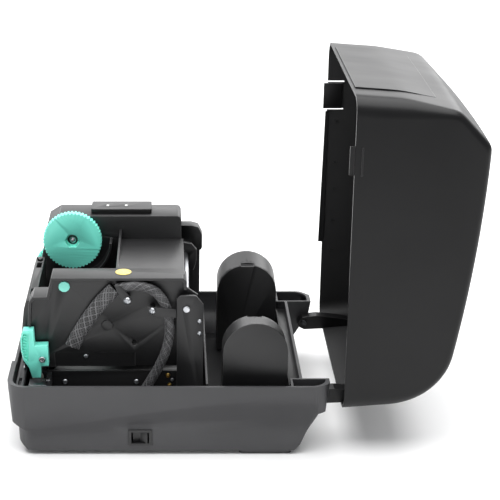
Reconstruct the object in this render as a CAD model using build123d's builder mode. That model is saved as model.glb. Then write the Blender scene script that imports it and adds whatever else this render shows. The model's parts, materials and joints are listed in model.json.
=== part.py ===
"""Four-inch desktop label printer with its clamshell lid open.

The frame: +X is the side with the power switch, -Y is the front where labels come out, +Z is up.
The origin is the middle of the base's footprint, on the surface that the printer stands on.
"""
from build123d import *
import math
import os

# ------------------------------------------------------------------ driving dimensions (mm)
base_length = 288.0            # front to back
base_width = 220.0
rim_height = 67.5
wall = 2.5                     # moulded walls of the base and the lid
corner_radius = 16.0           # plan corners of the base and the lid
floor_underside = 3.9          # clearance under the base
band_proud = 0.8               # how far the upper band stands out of the lower body
lower_front_set_back = 8.5     # lower body behind the front rim

tower_front = base_length / 2 - 34.0           # front face of the two rear corner pockets
tower_width_right = 16.0
tower_width_left = 25.0
rear_wall_y = base_length / 2 - 25.0           # outside of the rear wall between the pockets
pocket_wall = 2.0

hinge_y, hinge_z = base_length / 2 - 8.3, rim_height - 17.9     # lid hinge axis, parallel to X
hinge_pin_radius = 3.0
lid_height = 116.5             # closed lid, from its rim to its highest edge
lid_gap = 0.3                  # rim to rim when the lid is closed

pivot_y, pivot_z = 15.7, 123.9     # print module's pivot, parallel to X
pivot_radius = 3.0
running_gap = 0.06             # radial clearance of a shaft in its hole

plate_x = 55.0                 # inner face of the print module's right side plate
plate_wall = 3.0
strip_top = 152.5              # top of the flange round the side plate
strip_width = 24.0
housing_left = -100.0          # outer face of the ribbon gear housing
housing_right = -66.0          # its face towards the ribbon
housing_top = 165.0
shell = 2.2                    # wall of the gear housing

wheel_y, wheel_z = -94.0, 142.0    # ribbon rewind axis
wheel_radius = 28.6
wheel_thickness = 7.0
wheel_teeth = 50
spindle_radius = 5.0

gear_module = 1.0
gear_width = 5.0
rewind_gear_teeth = 38
rewind_idler_teeth = 40
idler_drop_angle = -117.5      # from the rewind axis to its idler, degrees from +Y towards +Z
platen_gear_teeth = 24
drive_idler_teeth = 40
motor_pinion_teeth = 18
platen_y, platen_z = -121.0, 50.0
platen_radius = 8.0
platen_length = 104.0
platen_shaft_radius = 3.0
drive_idler_angle = -35.7      # from the platen axis to the drive idler
motor_angle = -6.8             # from the drive idler to the motor shaft
motor_size = 42.0
motor_length = 34.0

cheek_right_x = 50.0           # inner faces of the lower frame's cheeks
cheek_left_x = -60.0
cheek_wall = 3.0
chassis_top = 57.0

holder_inner_x = 61.0          # half the gap between the media holders
holder_thickness = 29.0
holder_width = 58.0
holder_y = 77.0
holder_top = 119.7
holder_slope = 4.2             # how much lower the inner edge of a holder's top is
holder_travel = 46.0
rack_pinion_teeth = 18
tray_floor = 20.0
tray_wall = 2.0
holder_bottom = tray_floor + tray_wall + 2.0

switch_y, switch_z = -25.8, 17.15
switch_width, switch_height = 21.6, 15.3
switch_lip = 1.4

lever_y, lever_z = -114.9, 75.3
lever_x = 60.0
lever_pin_radius = 2.0
supply_y, supply_z = -56.0, 104.0  # ribbon supply axis
button_travel = 1.5

harness_radius = 4.5
clamp_screws = [(-37.2, 132.6), (-15.2, 122.8)]

# ------------------------------------------------------------------ shared values
half_width = base_width / 2
half_length = base_length / 2
floor_top = floor_underside + wall
lower_half_width = half_width - band_proud
right_pocket_x = half_width - tower_width_right
left_pocket_x = -half_width + tower_width_left
plate_outer = plate_x + plate_wall
gear_x = cheek_left_x - cheek_wall - 1.0 - gear_width    # where the drive gears start

os.makedirs("parts", exist_ok=True)


def side(x, y=0, z=0):
    """A sketch plane facing +X: sketch x runs along +Y and sketch y along +Z."""
    return Plane(origin=(x, y, z), x_dir=(0, 1, 0), z_dir=(1, 0, 0))


def save(builder, node):
    """Label a finished piece and write its STEP file."""
    builder.part.label = node
    export_step(builder.part, f"parts/{node}.step")


def slab(points, x_from, x_to):
    """A closed outline of (Y, Z) points, extruded along X."""
    with BuildPart() as piece:
        with BuildSketch(side(x_from)):
            with BuildLine():
                Polyline(*points, close=True)
            make_face()
        extrude(amount=x_to - x_from)
    return piece.part


def block(x_from, x_to, y_from, y_to, z_from, z_to):
    """A box between two opposite corners."""
    with BuildPart() as piece:
        middle = ((x_from + x_to) / 2, (y_from + y_to) / 2, (z_from + z_to) / 2)
        with Locations(middle):
            Box(x_to - x_from, y_to - y_from, z_to - z_from)
    return piece.part


def rod(x_from, x_to, y, z, radius):
    """A round bar parallel to X."""
    with BuildPart() as piece:
        with BuildSketch(side(x_from, y, z)):
            Circle(radius)
        extrude(amount=x_to - x_from)
    return piece.part


def away(y, z, distance, angle):
    """The point at a distance and an angle (degrees from +Y towards +Z) from (y, z)."""
    return y + distance * math.cos(math.radians(angle)), z + distance * math.sin(math.radians(angle))


def pitch_radius(teeth):
    return gear_module * teeth / 2


def centre_distance(teeth_a, teeth_b):
    return pitch_radius(teeth_a) + pitch_radius(teeth_b)


def meshed_phase(phase, teeth, angle, next_teeth):
    """The turn of a gear's first tooth, in degrees, that meshes it with a gear seen at this angle."""
    fraction = (angle - phase) * teeth / 360
    next_fraction = 0.5 - fraction
    return angle + 180 - next_fraction * 360 / next_teeth


# teeth stand 0.8 modules proud and are thinned for backlash, so that small pinions aren't undercut
pressure_angle = math.radians(20)
addendum, dedendum, backlash = 0.8 * gear_module, 1.15 * gear_module, 0.14


def gear_outline(teeth, phase):
    """Corner points of an involute gear about the sketch's origin, with its first tooth at phase degrees."""
    pitch, outer, root = pitch_radius(teeth), pitch_radius(teeth) + addendum, pitch_radius(teeth) - dedendum
    base = pitch * math.cos(pressure_angle)
    half_tooth = math.pi / (2 * teeth) - backlash / pitch / 2
    inv = math.tan(pressure_angle) - pressure_angle
    flank = []
    for step in range(4):
        radius = max(base, root) + (outer - max(base, root)) * step / 3
        roll = math.acos(min(1, base / radius))
        flank.append((radius, half_tooth + inv - (math.tan(roll) - roll)))
    if root < base:
        flank.insert(0, (root, flank[0][1]))
    points = []
    for tooth in range(teeth):
        middle = math.radians(phase) + 2 * math.pi * tooth / teeth
        for radius, spread in flank:
            points.append((radius * math.cos(middle - spread), radius * math.sin(middle - spread)))
        for radius, spread in reversed(flank):
            points.append((radius * math.cos(middle + spread), radius * math.sin(middle + spread)))
    return points


def gear(teeth, phase, y, z, x_from, width, bore):
    """A spur gear parallel to X with a hub hole."""
    with BuildPart() as piece:
        with BuildSketch(side(x_from, y, z)):
            with BuildLine():
                Polyline(*gear_outline(teeth, phase), close=True)
            make_face()
            Circle(bore, mode=Mode.SUBTRACT)
        extrude(amount=width)
    return piece.part


def ring(x_from, x_to, y, z, radius, bore):
    """A bush or washer parallel to X."""
    with BuildPart() as piece:
        with BuildSketch(side(x_from, y, z)):
            Circle(radius)
            Circle(bore, mode=Mode.SUBTRACT)
        extrude(amount=x_to - x_from)
    return piece.part


def screw(x, y, z, head_radius, head_height, cross=True):
    """A pan head standing on a face that looks to +X at x."""
    with BuildPart() as piece:
        with BuildSketch(side(x, y, z)):
            Circle(head_radius)
        extrude(amount=head_height)
        fillet(piece.edges().group_by(Axis.X)[-1], head_height * 0.45)
        if cross:
            with BuildSketch(side(x + head_height, y, z)):
                Rectangle(head_radius * 1.1, head_radius * 0.28)
                Rectangle(head_radius * 0.28, head_radius * 1.1)
            extrude(amount=-head_height * 0.5, mode=Mode.SUBTRACT)
    return piece.part


# ------------------------------------------------------------------ base shell
lower_front = -half_length + lower_front_set_back
rear_foot_front, rear_foot_back = half_length - 81.0, half_length - 34.0


# side outline of the lower body, with its round front bottom corner and the long slope at the back
lower_profile = [
    (lower_front + 9, floor_underside), (rear_foot_back + 2.5, floor_underside), (rear_foot_back + 7.3, 10),
    (half_length - 20.4, 25.1), (half_length - 11.4, 40), (half_length - 11.4, 44), (lower_front, 44),
    (lower_front, 25.1), (lower_front + 1.1, 10.5),
]
# side outline of the upper band, above the shallow step line
band_profile = [
    (-half_length + 4.2, 31), (-half_length + 16, 24.6), (-61.4, 32.1), (27.5, 40.2),
    (half_length - 11.4, 40.6),
    (half_length - 4.6, 41.4),
    (half_length - 3.6, 51.1), (half_length - 1, rim_height), (-half_length, rim_height),
    (-half_length + 1.7, 55),
]


def shell_solid(inset):
    """The base's outer form, or the same form moved in by the wall's thickness."""
    with BuildPart() as lower:
        with BuildSketch(side(-lower_half_width + inset)):
            with BuildLine():
                Polyline(*lower_profile, close=True)
            make_face()
            if inset:
                offset(amount=-inset, kind=Kind.INTERSECTION, mode=Mode.REPLACE)
        extrude(amount=2 * (lower_half_width - inset))
        with BuildSketch(Plane.XY.offset(-1)):
            with Locations((0, (lower_front + half_length) / 2)):
                RectangleRounded(
                    2 * (lower_half_width - inset), half_length - lower_front - 2 * inset,
                    corner_radius - 1 - inset,
                )
        extrude(amount=rim_height + 2, mode=Mode.INTERSECT)
    with BuildPart() as band:
        with BuildSketch(side(-half_width + inset)):
            with BuildLine():
                Polyline(*band_profile, close=True)
            make_face()
            if inset:
                offset(amount=-inset, kind=Kind.INTERSECTION, mode=Mode.REPLACE)
        extrude(amount=base_width - 2 * inset)
        with BuildSketch(Plane.XY.offset(-1)):
            RectangleRounded(base_width - 2 * inset, base_length - 2 * inset, corner_radius - inset)
        extrude(amount=rim_height + 2, mode=Mode.INTERSECT)
    with BuildPart() as both:
        add(lower.part)
        add(band.part)
    return both.part


outer_form = shell_solid(0)
inner_form = shell_solid(wall)

with BuildPart() as pocket_walls:
    # side and front walls of the corner pockets, and the rear wall between them
    for low, high in ((right_pocket_x - pocket_wall, right_pocket_x),
                      (left_pocket_x, left_pocket_x + pocket_wall)):
        add(block(low, high, tower_front - pocket_wall, half_length, floor_underside, rim_height))
    add(block(right_pocket_x - 1, half_width, tower_front - pocket_wall, tower_front, floor_underside,
              rim_height))
    add(block(-half_width, left_pocket_x + 1, tower_front - pocket_wall, tower_front, floor_underside,
              rim_height))
    add(block(left_pocket_x, right_pocket_x, rear_wall_y - wall, rear_wall_y, floor_underside, rim_height))
    add(outer_form, mode=Mode.INTERSECT)

tower_chamfer = 9.0
label_slot_half, label_slot_bottom = 56.0, 61.0

with BuildPart() as base_housing:
    add(outer_form)
    add(inner_form, mode=Mode.SUBTRACT)
    # the mouth
    with BuildSketch(Plane.XY.offset(rim_height - 2 * wall)):
        RectangleRounded(base_width - 2 * wall, base_length - 2 * wall - 4, corner_radius - wall)
    extrude(amount=3 * wall, mode=Mode.SUBTRACT)
    # no step inside where the lower body meets the band
    add(block(-lower_half_width + wall, lower_half_width - wall, lower_front + 8, tower_front, 30, 60),
        mode=Mode.SUBTRACT)
    add(pocket_walls.part)
    # the recess between the pockets
    add(block(left_pocket_x + pocket_wall, right_pocket_x - pocket_wall, rear_wall_y, half_length + 9, -1,
              rim_height + 1), mode=Mode.SUBTRACT)
    # the left pocket's outer corner is cut off at 45 degrees
    with BuildSketch(Plane.XY.offset(20)):
        with Locations((-half_width, half_length - 2)):
            Rectangle(tower_chamfer * 1.4, tower_chamfer * 1.4, rotation=45)
    extrude(amount=rim_height, mode=Mode.SUBTRACT)
    # the moulded foot across the rear
    with BuildSketch(Plane.XY):
        with Locations((0, (rear_foot_front + rear_foot_back) / 2)):
            RectangleRounded(2 * lower_half_width - 4, rear_foot_back - rear_foot_front, 4)
    extrude(amount=floor_underside + 0.5)
    # power switch cut-out
    add(block(half_width - 8, half_width + 8, switch_y - switch_width / 2 + 1,
              switch_y + switch_width / 2 - 1,
              switch_z - switch_height / 2 + 1.2, switch_z + switch_height / 2 - 1.2), mode=Mode.SUBTRACT)
    # label outlet in the front rim
    add(block(-label_slot_half, label_slot_half, -half_length - 5, -half_length + 12, label_slot_bottom,
              rim_height + 5), mode=Mode.SUBTRACT)
    # connector cut-outs in the rear wall
    for low, high, bottom, top in ((50, 62, 18, 29), (10, 23, 18, 29), (-40, -23, 18, 32)):
        add(block(low, high, rear_wall_y - 2 * wall, rear_wall_y + wall, bottom, top), mode=Mode.SUBTRACT)
    # holes for the lid's hinge pins in the pockets' inner walls
    add(rod(left_pocket_x - 2, right_pocket_x + 2, hinge_y, hinge_z, hinge_pin_radius), mode=Mode.SUBTRACT)
save(base_housing, "base_housing")

foot_radius = 9.0
with BuildPart() as rubber_feet:
    for x in (-80, 80):
        with BuildSketch(Plane.XY):
            with Locations((x, -104)):
                Circle(foot_radius)
        extrude(amount=floor_underside)
save(rubber_feet, "rubber_feet")

trim_top, trim_bottom = 57.0, 50.0
trim_front = -half_length + 5.8
trim_back = trim_front + 7.0
trim_half = half_width - 16.0
with BuildPart() as front_trim:
    add(block(-trim_half, trim_half, trim_front, trim_back, trim_bottom, trim_top))
    # room for the platen's gear
    add(block(gear_x - 3, cheek_left_x - cheek_wall, trim_front + 3.2, trim_back + 0.2, trim_bottom - 1,
              trim_top + 1), mode=Mode.SUBTRACT)
    for x in (-78, 78):
        add(block(x - 9, x + 9, trim_front + 1.8, trim_front + 4.8, trim_bottom + 3, trim_top + 1),
            mode=Mode.SUBTRACT)
    # feet of the trim down to the floor
    for x in (-88, 88):
        add(block(x - 6, x + 6, trim_back - 1.2, trim_back, 26, trim_bottom + 0.5))
save(front_trim, "front_trim")

with BuildPart() as tear_bar:
    with BuildSketch(Plane.XZ.offset(-trim_front - 4.6)):
        with BuildLine():
            teeth = 54
            top = [(-54 + 108 * n / teeth, trim_top + (3.6 if n % 2 else 2.9)) for n in range(teeth + 1)]
            Polyline((-54, trim_top), *top, (54, trim_top), close=True)
        make_face()
    extrude(amount=-1.0)
save(tear_bar, "tear_bar")

# ------------------------------------------------------------------ lower frame
cheek_back = 26.0
stud_radius = 2.5              # fixed studs that the idler gears turn on
bushing_radius = platen_shaft_radius + 2.4
with BuildPart() as chassis_frame:
    for inner in (cheek_right_x, cheek_left_x - cheek_wall):
        add(slab([(-118, floor_top), (cheek_back, floor_top), (cheek_back, chassis_top - 1),
                  (-128, chassis_top - 1), (-128, 20)], inner, inner + cheek_wall))
        # round holes for the platen bushings
        add(rod(inner - 1, inner + cheek_wall + 1, platen_y, platen_z, bushing_radius), mode=Mode.SUBTRACT)
    add(block(cheek_left_x, cheek_right_x, -44, cheek_back, floor_top, floor_top + 2))
    add(block(cheek_left_x, cheek_right_x, -112, -90, floor_top, floor_top + 2))
    add(block(cheek_left_x, cheek_right_x, 22, cheek_back, floor_top, chassis_top - 8))
    # the motor's shaft and drive idler's stud come through the left cheek
    idler_y, idler_z = away(platen_y, platen_z, centre_distance(platen_gear_teeth, drive_idler_teeth),
                            drive_idler_angle)
    motor_y, motor_z = away(idler_y, idler_z, centre_distance(drive_idler_teeth, motor_pinion_teeth),
                            motor_angle)
    add(rod(cheek_left_x - cheek_wall - 1, cheek_left_x + 1, motor_y, motor_z, 11.2), mode=Mode.SUBTRACT)
    add(rod(gear_x - 1, cheek_left_x - cheek_wall / 2, idler_y, idler_z, stud_radius))
save(chassis_frame, "chassis_frame")

with BuildPart() as paper_deck:
    add(block(cheek_left_x, cheek_right_x, -106, 21.5, chassis_top - 4, chassis_top - 2))
    # shallow rails that carry the label web
    for x in (-40, -20, 0, 20, 38):
        add(block(x - 1, x + 1, -104, 18, chassis_top - 2.2, chassis_top - 1.2))
    add(block(-8, 8, -74, -58, chassis_top - 5, chassis_top), mode=Mode.SUBTRACT)
save(paper_deck, "paper_deck")

with BuildPart() as media_sensor:
    add(block(-7.7, 7.7, -73.7, -58.3, chassis_top - 12, chassis_top - 1.5))
    add(block(-2, 2, -68, -64, chassis_top - 2.5, chassis_top + 1), mode=Mode.SUBTRACT)
save(media_sensor, "media_sensor")

with BuildPart() as platen_bushings:
    for inner in (cheek_right_x, cheek_left_x - cheek_wall):
        add(ring(inner, inner + cheek_wall, platen_y, platen_z, bushing_radius,
                 platen_shaft_radius + running_gap))
save(platen_bushings, "platen_bushings")

platen_mid = (cheek_left_x + cheek_right_x) / 2
with BuildPart() as platen_shaft:
    add(rod(gear_x - 1.5, cheek_right_x + cheek_wall + 2.5, platen_y, platen_z, platen_shaft_radius))
save(platen_shaft, "platen_shaft")

with BuildPart() as platen_roller:
    add(ring(platen_mid - platen_length / 2, platen_mid + platen_length / 2, platen_y, platen_z,
             platen_radius, platen_shaft_radius))
save(platen_roller, "platen_roller")

platen_phase = 0.0
idler_phase = meshed_phase(platen_phase, platen_gear_teeth, drive_idler_angle, drive_idler_teeth)
pinion_phase = meshed_phase(idler_phase, drive_idler_teeth, motor_angle, motor_pinion_teeth)
with BuildPart() as platen_gear:
    add(gear(platen_gear_teeth, platen_phase, platen_y, platen_z, gear_x, gear_width, platen_shaft_radius))
save(platen_gear, "platen_gear")

with BuildPart() as drive_idler:
    add(gear(drive_idler_teeth, idler_phase, idler_y, idler_z, gear_x, gear_width,
             stud_radius + running_gap))
    with BuildSketch(side(gear_x, idler_y, idler_z)):
        with PolarLocations(12, 5):
            Circle(4)
    extrude(amount=gear_width, mode=Mode.SUBTRACT)
save(drive_idler, "drive_idler")

motor_shaft_radius = 2.5
with BuildPart() as stepper_motor:
    with BuildSketch(side(cheek_left_x, motor_y, motor_z)):
        RectangleRounded(motor_size, motor_size, 5)
    extrude(amount=motor_length)
    with BuildSketch(side(cheek_left_x - cheek_wall + 1, motor_y, motor_z)):
        Circle(11)
    extrude(amount=3)
    add(rod(cheek_left_x - cheek_wall - 0.5, cheek_left_x + 12, motor_y, motor_z,
            motor_shaft_radius + running_gap),
        mode=Mode.SUBTRACT)
save(stepper_motor, "stepper_motor")

with BuildPart() as motor_pinion:
    add(gear(motor_pinion_teeth, pinion_phase, motor_y, motor_z, gear_x, gear_width, motor_shaft_radius))
    add(rod(gear_x - 1, cheek_left_x + 11.5, motor_y, motor_z, motor_shaft_radius))
save(motor_pinion, "motor_pinion")

# ------------------------------------------------------------------ print module pivot
bracket_gap = 6.5              # from the side plate to the pivot plate outside it
right_bracket_x = plate_outer + bracket_gap
left_bracket_x = housing_left - 5.0
bracket_points = [(7, floor_top), (31, floor_top), (31, 128), (24, 137), (10, 137), (7, 134)]
for low, node in ((right_bracket_x, "right_pivot_plate"), (left_bracket_x, "left_pivot_plate")):
    with BuildPart() as pivot_plate:
        add(slab(bracket_points, low, low + plate_wall))
        fillet(pivot_plate.edges().filter_by(Axis.X).group_by(Axis.Z)[-1], 4)
        add(rod(low - 1, low + plate_wall + 1, pivot_y, pivot_z, pivot_radius), mode=Mode.SUBTRACT)
        # flanged foot on the floor
        add(block(low, low + 12, 7, 31, floor_top, floor_top + 2))
    save(pivot_plate, node)

with BuildPart() as pivot_shaft:
    add(rod(left_bracket_x - 1, right_bracket_x + plate_wall + 1, pivot_y, pivot_z, pivot_radius))
save(pivot_shaft, "pivot_shaft")

with BuildPart() as frame_screws:
    for y in (-96, -30, 16):
        add(screw(cheek_right_x + cheek_wall, y, 45, 2.6, 1.8))
    for y, z in ((-1, 51.5), (3, 47), (0.5, 41.5)):
        add(screw(cheek_right_x + cheek_wall, y, z, 1.8, 2.4))
    for z in (112, 100):
        add(screw(right_bracket_x + plate_wall, 27.5, z, 2.2, 1.6))
save(frame_screws, "frame_screws")

# ------------------------------------------------------------------ print module
strip_wall = 2.6
roof_front, roof_back = -46.0, 14.0
with BuildPart() as module_frame:
    # right side plate, with a recessed band along its lower edge
    add(slab([(-129, 62), (-104, 62), (-104, 77), (-31, 77), (-31, 64), (26, 64), (26, 134), (16, 141),
              (16, 148), (12, 150), (-104, 150), (-108, 132), (-121, 132), (-124.6, 126), (-126, 100)],
             plate_x, plate_outer))
    add(slab([(-105, 62), (-30, 62), (-30, 78), (-105, 78)], plate_x, plate_x + 1))
    # flange along its top, stepping down at the front and turned down at the back
    strip_middle = strip_top - strip_wall / 2
    rear_turn = [(14.7, 141), (14.7, 148.5), (12, strip_middle)]
    front_step = [(-108.5, 133), (-121.5, 132.8), (-124.6, 128)]
    # its front corner leans back, because the lid's front rim swings past it
    front_turn = [(-121.5, 132.8), (-124.6, 128), (-126.2, 106)]
    strip_outer = plate_outer + 6
    for wide, line in ((strip_width, [*rear_turn, (-104, strip_middle), *front_step]), (12, front_turn)):
        with BuildSketch(side(strip_outer - wide)):
            with BuildLine():
                Polyline(*line)
            trace(line_width=strip_wall)
        extrude(amount=wide)
    # sloped roof from the flange down to the gear housing
    with BuildSketch(Plane.XZ.offset(-roof_front)):
        with BuildLine():
            Polyline((plate_x, strip_top), (strip_outer - strip_width, strip_top), (housing_right, 141.5),
                     (housing_right, 139), (strip_outer - strip_width, strip_top - strip_wall),
                     (plate_x, strip_top - strip_wall), close=True)
        make_face()
    extrude(amount=roof_front - roof_back)
    # dividing rib at the front of the roof
    add(block(housing_right, strip_outer - strip_width, roof_front - 2.2, roof_front, 118, strip_top - 1))
    # cross beams that carry the print head and tie the plate to the gear housing
    add(block(housing_right, plate_x, -120.8, -104, 86, 90))
    add(block(housing_right, plate_x, -104, -101, 84, 104))
    add(block(housing_right, plate_x, 4, 7.5, 84, 140))
    # pivot, spindle and lever holes through the side plate
    for y, z, radius in ((pivot_y, pivot_z, pivot_radius + running_gap),
                         (wheel_y, wheel_z, spindle_radius + running_gap),
                         (supply_y, supply_z, spindle_radius + running_gap),
                         (lever_y, lever_z, lever_pin_radius), (-31.4, 86.8, 2.6)):
        add(rod(plate_x - 1, plate_outer + 1, y, z, radius), mode=Mode.SUBTRACT)
save(module_frame, "module_frame")

idler_drop = centre_distance(rewind_gear_teeth, rewind_idler_teeth)
ribbon_idler_y, ribbon_idler_z = away(wheel_y, wheel_z, idler_drop, idler_drop_angle)
ribbon_gear_x = housing_left + 12
housing_back = 12.0
housing_outline = [(housing_back, housing_top), (-107, housing_top), (-118, 158), (-128.5, 104), (-124, 84),
                   (-108, 78), (housing_back, 78)]
with BuildPart() as gear_housing:
    add(slab(housing_outline, housing_left, housing_right))
    fillet(gear_housing.edges().filter_by(Axis.X).group_by(Axis.Y)[-1], 5)
    # hollow, open along the front for the idler and at the bottom for the drive
    inside = [(housing_back - shell, housing_top - shell), (-106, housing_top - shell), (-116, 157),
              (-140, 104), (-136, 70), (housing_back - shell, 70)]
    add(slab(inside, housing_left + shell, housing_right - shell), mode=Mode.SUBTRACT)
    for y, z, radius in ((wheel_y, wheel_z, spindle_radius + running_gap),
                         (supply_y, supply_z, spindle_radius + running_gap)):
        add(rod(housing_left + shell + 1, housing_right + 1, y, z, radius), mode=Mode.SUBTRACT)
    add(rod(housing_left - 1, housing_right + 1, pivot_y, pivot_z, 12), mode=Mode.SUBTRACT)
    # guard wall round the lower rear of the rewind wheel
    with BuildSketch(side(housing_right, wheel_y, wheel_z)):
        Circle(wheel_radius + 10)
        Circle(wheel_radius + 7.8, mode=Mode.SUBTRACT)
        # only its lower rear quarter stands
        with Locations((0, 60)):
            Rectangle(120, 120, mode=Mode.SUBTRACT)
        with Locations((-50, 0)):
            Rectangle(120, 120, mode=Mode.SUBTRACT)
    extrude(amount=14)
    # ear that turns on the pivot shaft
    add(slab([(housing_back - 9, 108), (24, 108), (27, 118), (27, 130), (22, 136), (housing_back - 9, 140)],
             housing_right - 2 * shell, housing_right))
    add(rod(housing_left - 1, housing_right + 1, pivot_y, pivot_z, pivot_radius + running_gap),
        mode=Mode.SUBTRACT)
    add(rod(housing_left + shell / 2, ribbon_gear_x + gear_width + 1, ribbon_idler_y, ribbon_idler_z,
            stud_radius))
save(gear_housing, "gear_housing")

with BuildPart() as pivot_cover:
    # rounded cap on the gear housing's rear face, over the pivot
    add(slab([(housing_back, 120), (24, 120), (33, 122), (33, 138), (29, 146), (22, 148),
              (housing_back, 148)],
             housing_left + 1, housing_left + 14))
    fillet(pivot_cover.edges().filter_by(Axis.X).group_by(Axis.Y)[-1], 4)
    add(rod(housing_left, housing_left + 15, pivot_y, pivot_z, pivot_radius + running_gap),
        mode=Mode.SUBTRACT)
save(pivot_cover, "pivot_cover")

with BuildPart() as housing_block:
    add(block(housing_left + 4, housing_left + 28, -76, -17, housing_top, housing_top + 5))
    fillet(housing_block.edges().filter_by(Axis.Z), 2)
    fillet(housing_block.faces().sort_by(Axis.Z)[-1].edges(), 0.8)
    # two small raised marks
    for y in (-60, -42):
        add(block(housing_left + 13, housing_left + 18, y - 1.5, y + 1.5, housing_top + 4.5,
                  housing_top + 5.4))
save(housing_block, "housing_block")

nose_back, nose_bottom, nose_top = -121.0, 61.5, 125.0
with BuildPart() as module_nose:
    add(slab([(-134.2, nose_bottom), (-130.4, nose_bottom), (-130.4, 92), (nose_back, 92),
              (nose_back, nose_top),
              (-129.4, nose_top), (-132.2, 116), (-134.2, 98)], housing_right + 6, cheek_right_x))
    # pockets in its top: a triangle and a slot at each end
    for x, flip in ((cheek_right_x - 3, -1), (housing_right + 9, 1)):
        with BuildSketch(Plane.XY.offset(nose_top)):
            with BuildLine():
                Polyline((x, -122.6), (x + flip * 9, -122.6), (x + flip * 9, -127.4), close=True)
            make_face()
            with Locations((x + flip * 19, -125)):
                Rectangle(14, 4.6)
        extrude(amount=-14, mode=Mode.SUBTRACT)
save(module_nose, "module_nose")

with BuildPart() as printhead:
    add(block(-54, 44, -127, -113, 58.3, 62))
save(printhead, "printhead")

with BuildPart() as head_bracket:
    add(slab([(-129, 62), (-104, 62), (-104, 82), (-106, 82), (-106, 64.2), (-129, 64.2)], -55, 45))
save(head_bracket, "head_bracket")

with BuildPart() as head_springs:
    for x in (-32, -5, 22):
        with BuildSketch(Plane.XY.offset(64.2)):
            with Locations((x, -113)):
                Circle(4.5)
                Circle(3.2, mode=Mode.SUBTRACT)
        extrude(amount=86 - 64.2)
save(head_springs, "head_springs")

# ribbon rewind: wheel, spindle and gears
hex_recess = 7.5
with BuildPart() as rewind_wheel:
    wheel_x = housing_right + 1.2
    with BuildSketch(side(wheel_x, wheel_y, wheel_z)):
        Circle(wheel_radius)
        with PolarLocations(wheel_radius, wheel_teeth):
            Rectangle(2.0, math.pi * wheel_radius / wheel_teeth, mode=Mode.SUBTRACT)
    extrude(amount=wheel_thickness)
    with BuildSketch(side(wheel_x + wheel_thickness, wheel_y, wheel_z)):
        RegularPolygon(hex_recess, 6)
    extrude(amount=-3.5, mode=Mode.SUBTRACT)
    add(rod(wheel_x - 1, wheel_x + wheel_thickness + 1, wheel_y, wheel_z, spindle_radius),
        mode=Mode.SUBTRACT)
save(rewind_wheel, "rewind_wheel")

spindle_end = wheel_x + 2.2    # the spindle stops inside the wheel, behind the screw in its recess
with BuildPart() as rewind_spindle:
    add(rod(housing_left + shell + 1, spindle_end, wheel_y, wheel_z, spindle_radius))
save(rewind_spindle, "rewind_spindle")

with BuildPart() as wheel_screw:
    add(screw(spindle_end, wheel_y, wheel_z, 3.6, 1.2))
save(wheel_screw, "wheel_screw")

with BuildPart() as ribbon_hub:
    # turns in the side plate and holds the other end of the ribbon's core
    add(rod(plate_x - 9, plate_outer + 1, wheel_y, wheel_z, spindle_radius))
    add(rod(plate_x - 3, plate_x - 1, wheel_y, wheel_z, spindle_radius + 2.2))
save(ribbon_hub, "ribbon_hub")

rewind_phase = 3.0
ribbon_idler_phase = meshed_phase(rewind_phase, rewind_gear_teeth, idler_drop_angle, rewind_idler_teeth)
with BuildPart() as rewind_gear:
    add(gear(rewind_gear_teeth, rewind_phase, wheel_y, wheel_z, ribbon_gear_x, gear_width, spindle_radius))
save(rewind_gear, "rewind_gear")

with BuildPart() as rewind_idler:
    add(gear(rewind_idler_teeth, ribbon_idler_phase, ribbon_idler_y, ribbon_idler_z, ribbon_gear_x,
             gear_width, stud_radius + running_gap))
    with BuildSketch(side(ribbon_gear_x, ribbon_idler_y, ribbon_idler_z)):
        with PolarLocations(11.5, 6):
            Circle(3.2)
    extrude(amount=gear_width, mode=Mode.SUBTRACT)
save(rewind_idler, "rewind_idler")

with BuildPart() as supply_spindle:
    add(rod(housing_left + shell + 1, plate_outer + 1, supply_y, supply_z, spindle_radius))
    with BuildSketch(side(housing_right + 8, supply_y, supply_z)):
        with PolarLocations(spindle_radius + 1.6, 3):
            Rectangle(6, 1.6)
    extrude(amount=plate_x - housing_right - 16)
save(supply_spindle, "supply_spindle")

# release lever on the side plate
with BuildPart() as release_lever:
    add(slab([(-131.5, 103.5), (-122, 104), (-121.5, 88.5), (-109.5, 89), (-109, 68.5), (-116, 68),
              (-116.5, 56.5),
              (-124.5, 56.5), (-127, 66), (-132, 74), (-134, 84), (-134, 95)], lever_x, lever_x + 9))
    # the grip face is dished between two rims
    add(slab([(-131, 100), (-126, 99.5), (-126.5, 82), (-127.5, 72), (-131, 76), (-132.5, 84),
              (-132.5, 95)],
             lever_x + 6.5, lever_x + 10), mode=Mode.SUBTRACT)
    add(rod(lever_x - 1, lever_x + 10, lever_y, lever_z, lever_pin_radius + running_gap),
        mode=Mode.SUBTRACT)
save(release_lever, "release_lever")

with BuildPart() as lever_screw:
    add(rod(plate_x, lever_x + 9.2, lever_y, lever_z, lever_pin_radius))
    add(screw(lever_x + 9.2, lever_y, lever_z, 3.0, 1.8))
    add(rod(plate_outer, lever_x - 0.2, lever_y, lever_z, lever_pin_radius + 2))
save(lever_screw, "lever_screw")

with BuildPart() as catch_bar:
    # steel bar that the lever hooks behind, on the lower frame's right cheek
    add(block(cheek_right_x + cheek_wall, lever_x + 11, -112, -108, 44, 55))
    add(block(cheek_right_x + cheek_wall + 4, lever_x + 11, -128, -108, 47, 50))
save(catch_bar, "catch_bar")

with BuildPart() as latch_catch:
    add(block(lever_x + 1, lever_x + 11, -125, -113, 41.5, 47))
    fillet(latch_catch.edges().filter_by(Axis.X).group_by(Axis.Z)[0], 2.2)
save(latch_catch, "latch_catch")

with BuildPart() as spool_disc:
    with BuildSketch(Plane.XY.offset(strip_top)):
        with Locations((49.5, -41)):
            Circle(7.2)
    extrude(amount=0.4)
save(spool_disc, "spool_disc")

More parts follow.
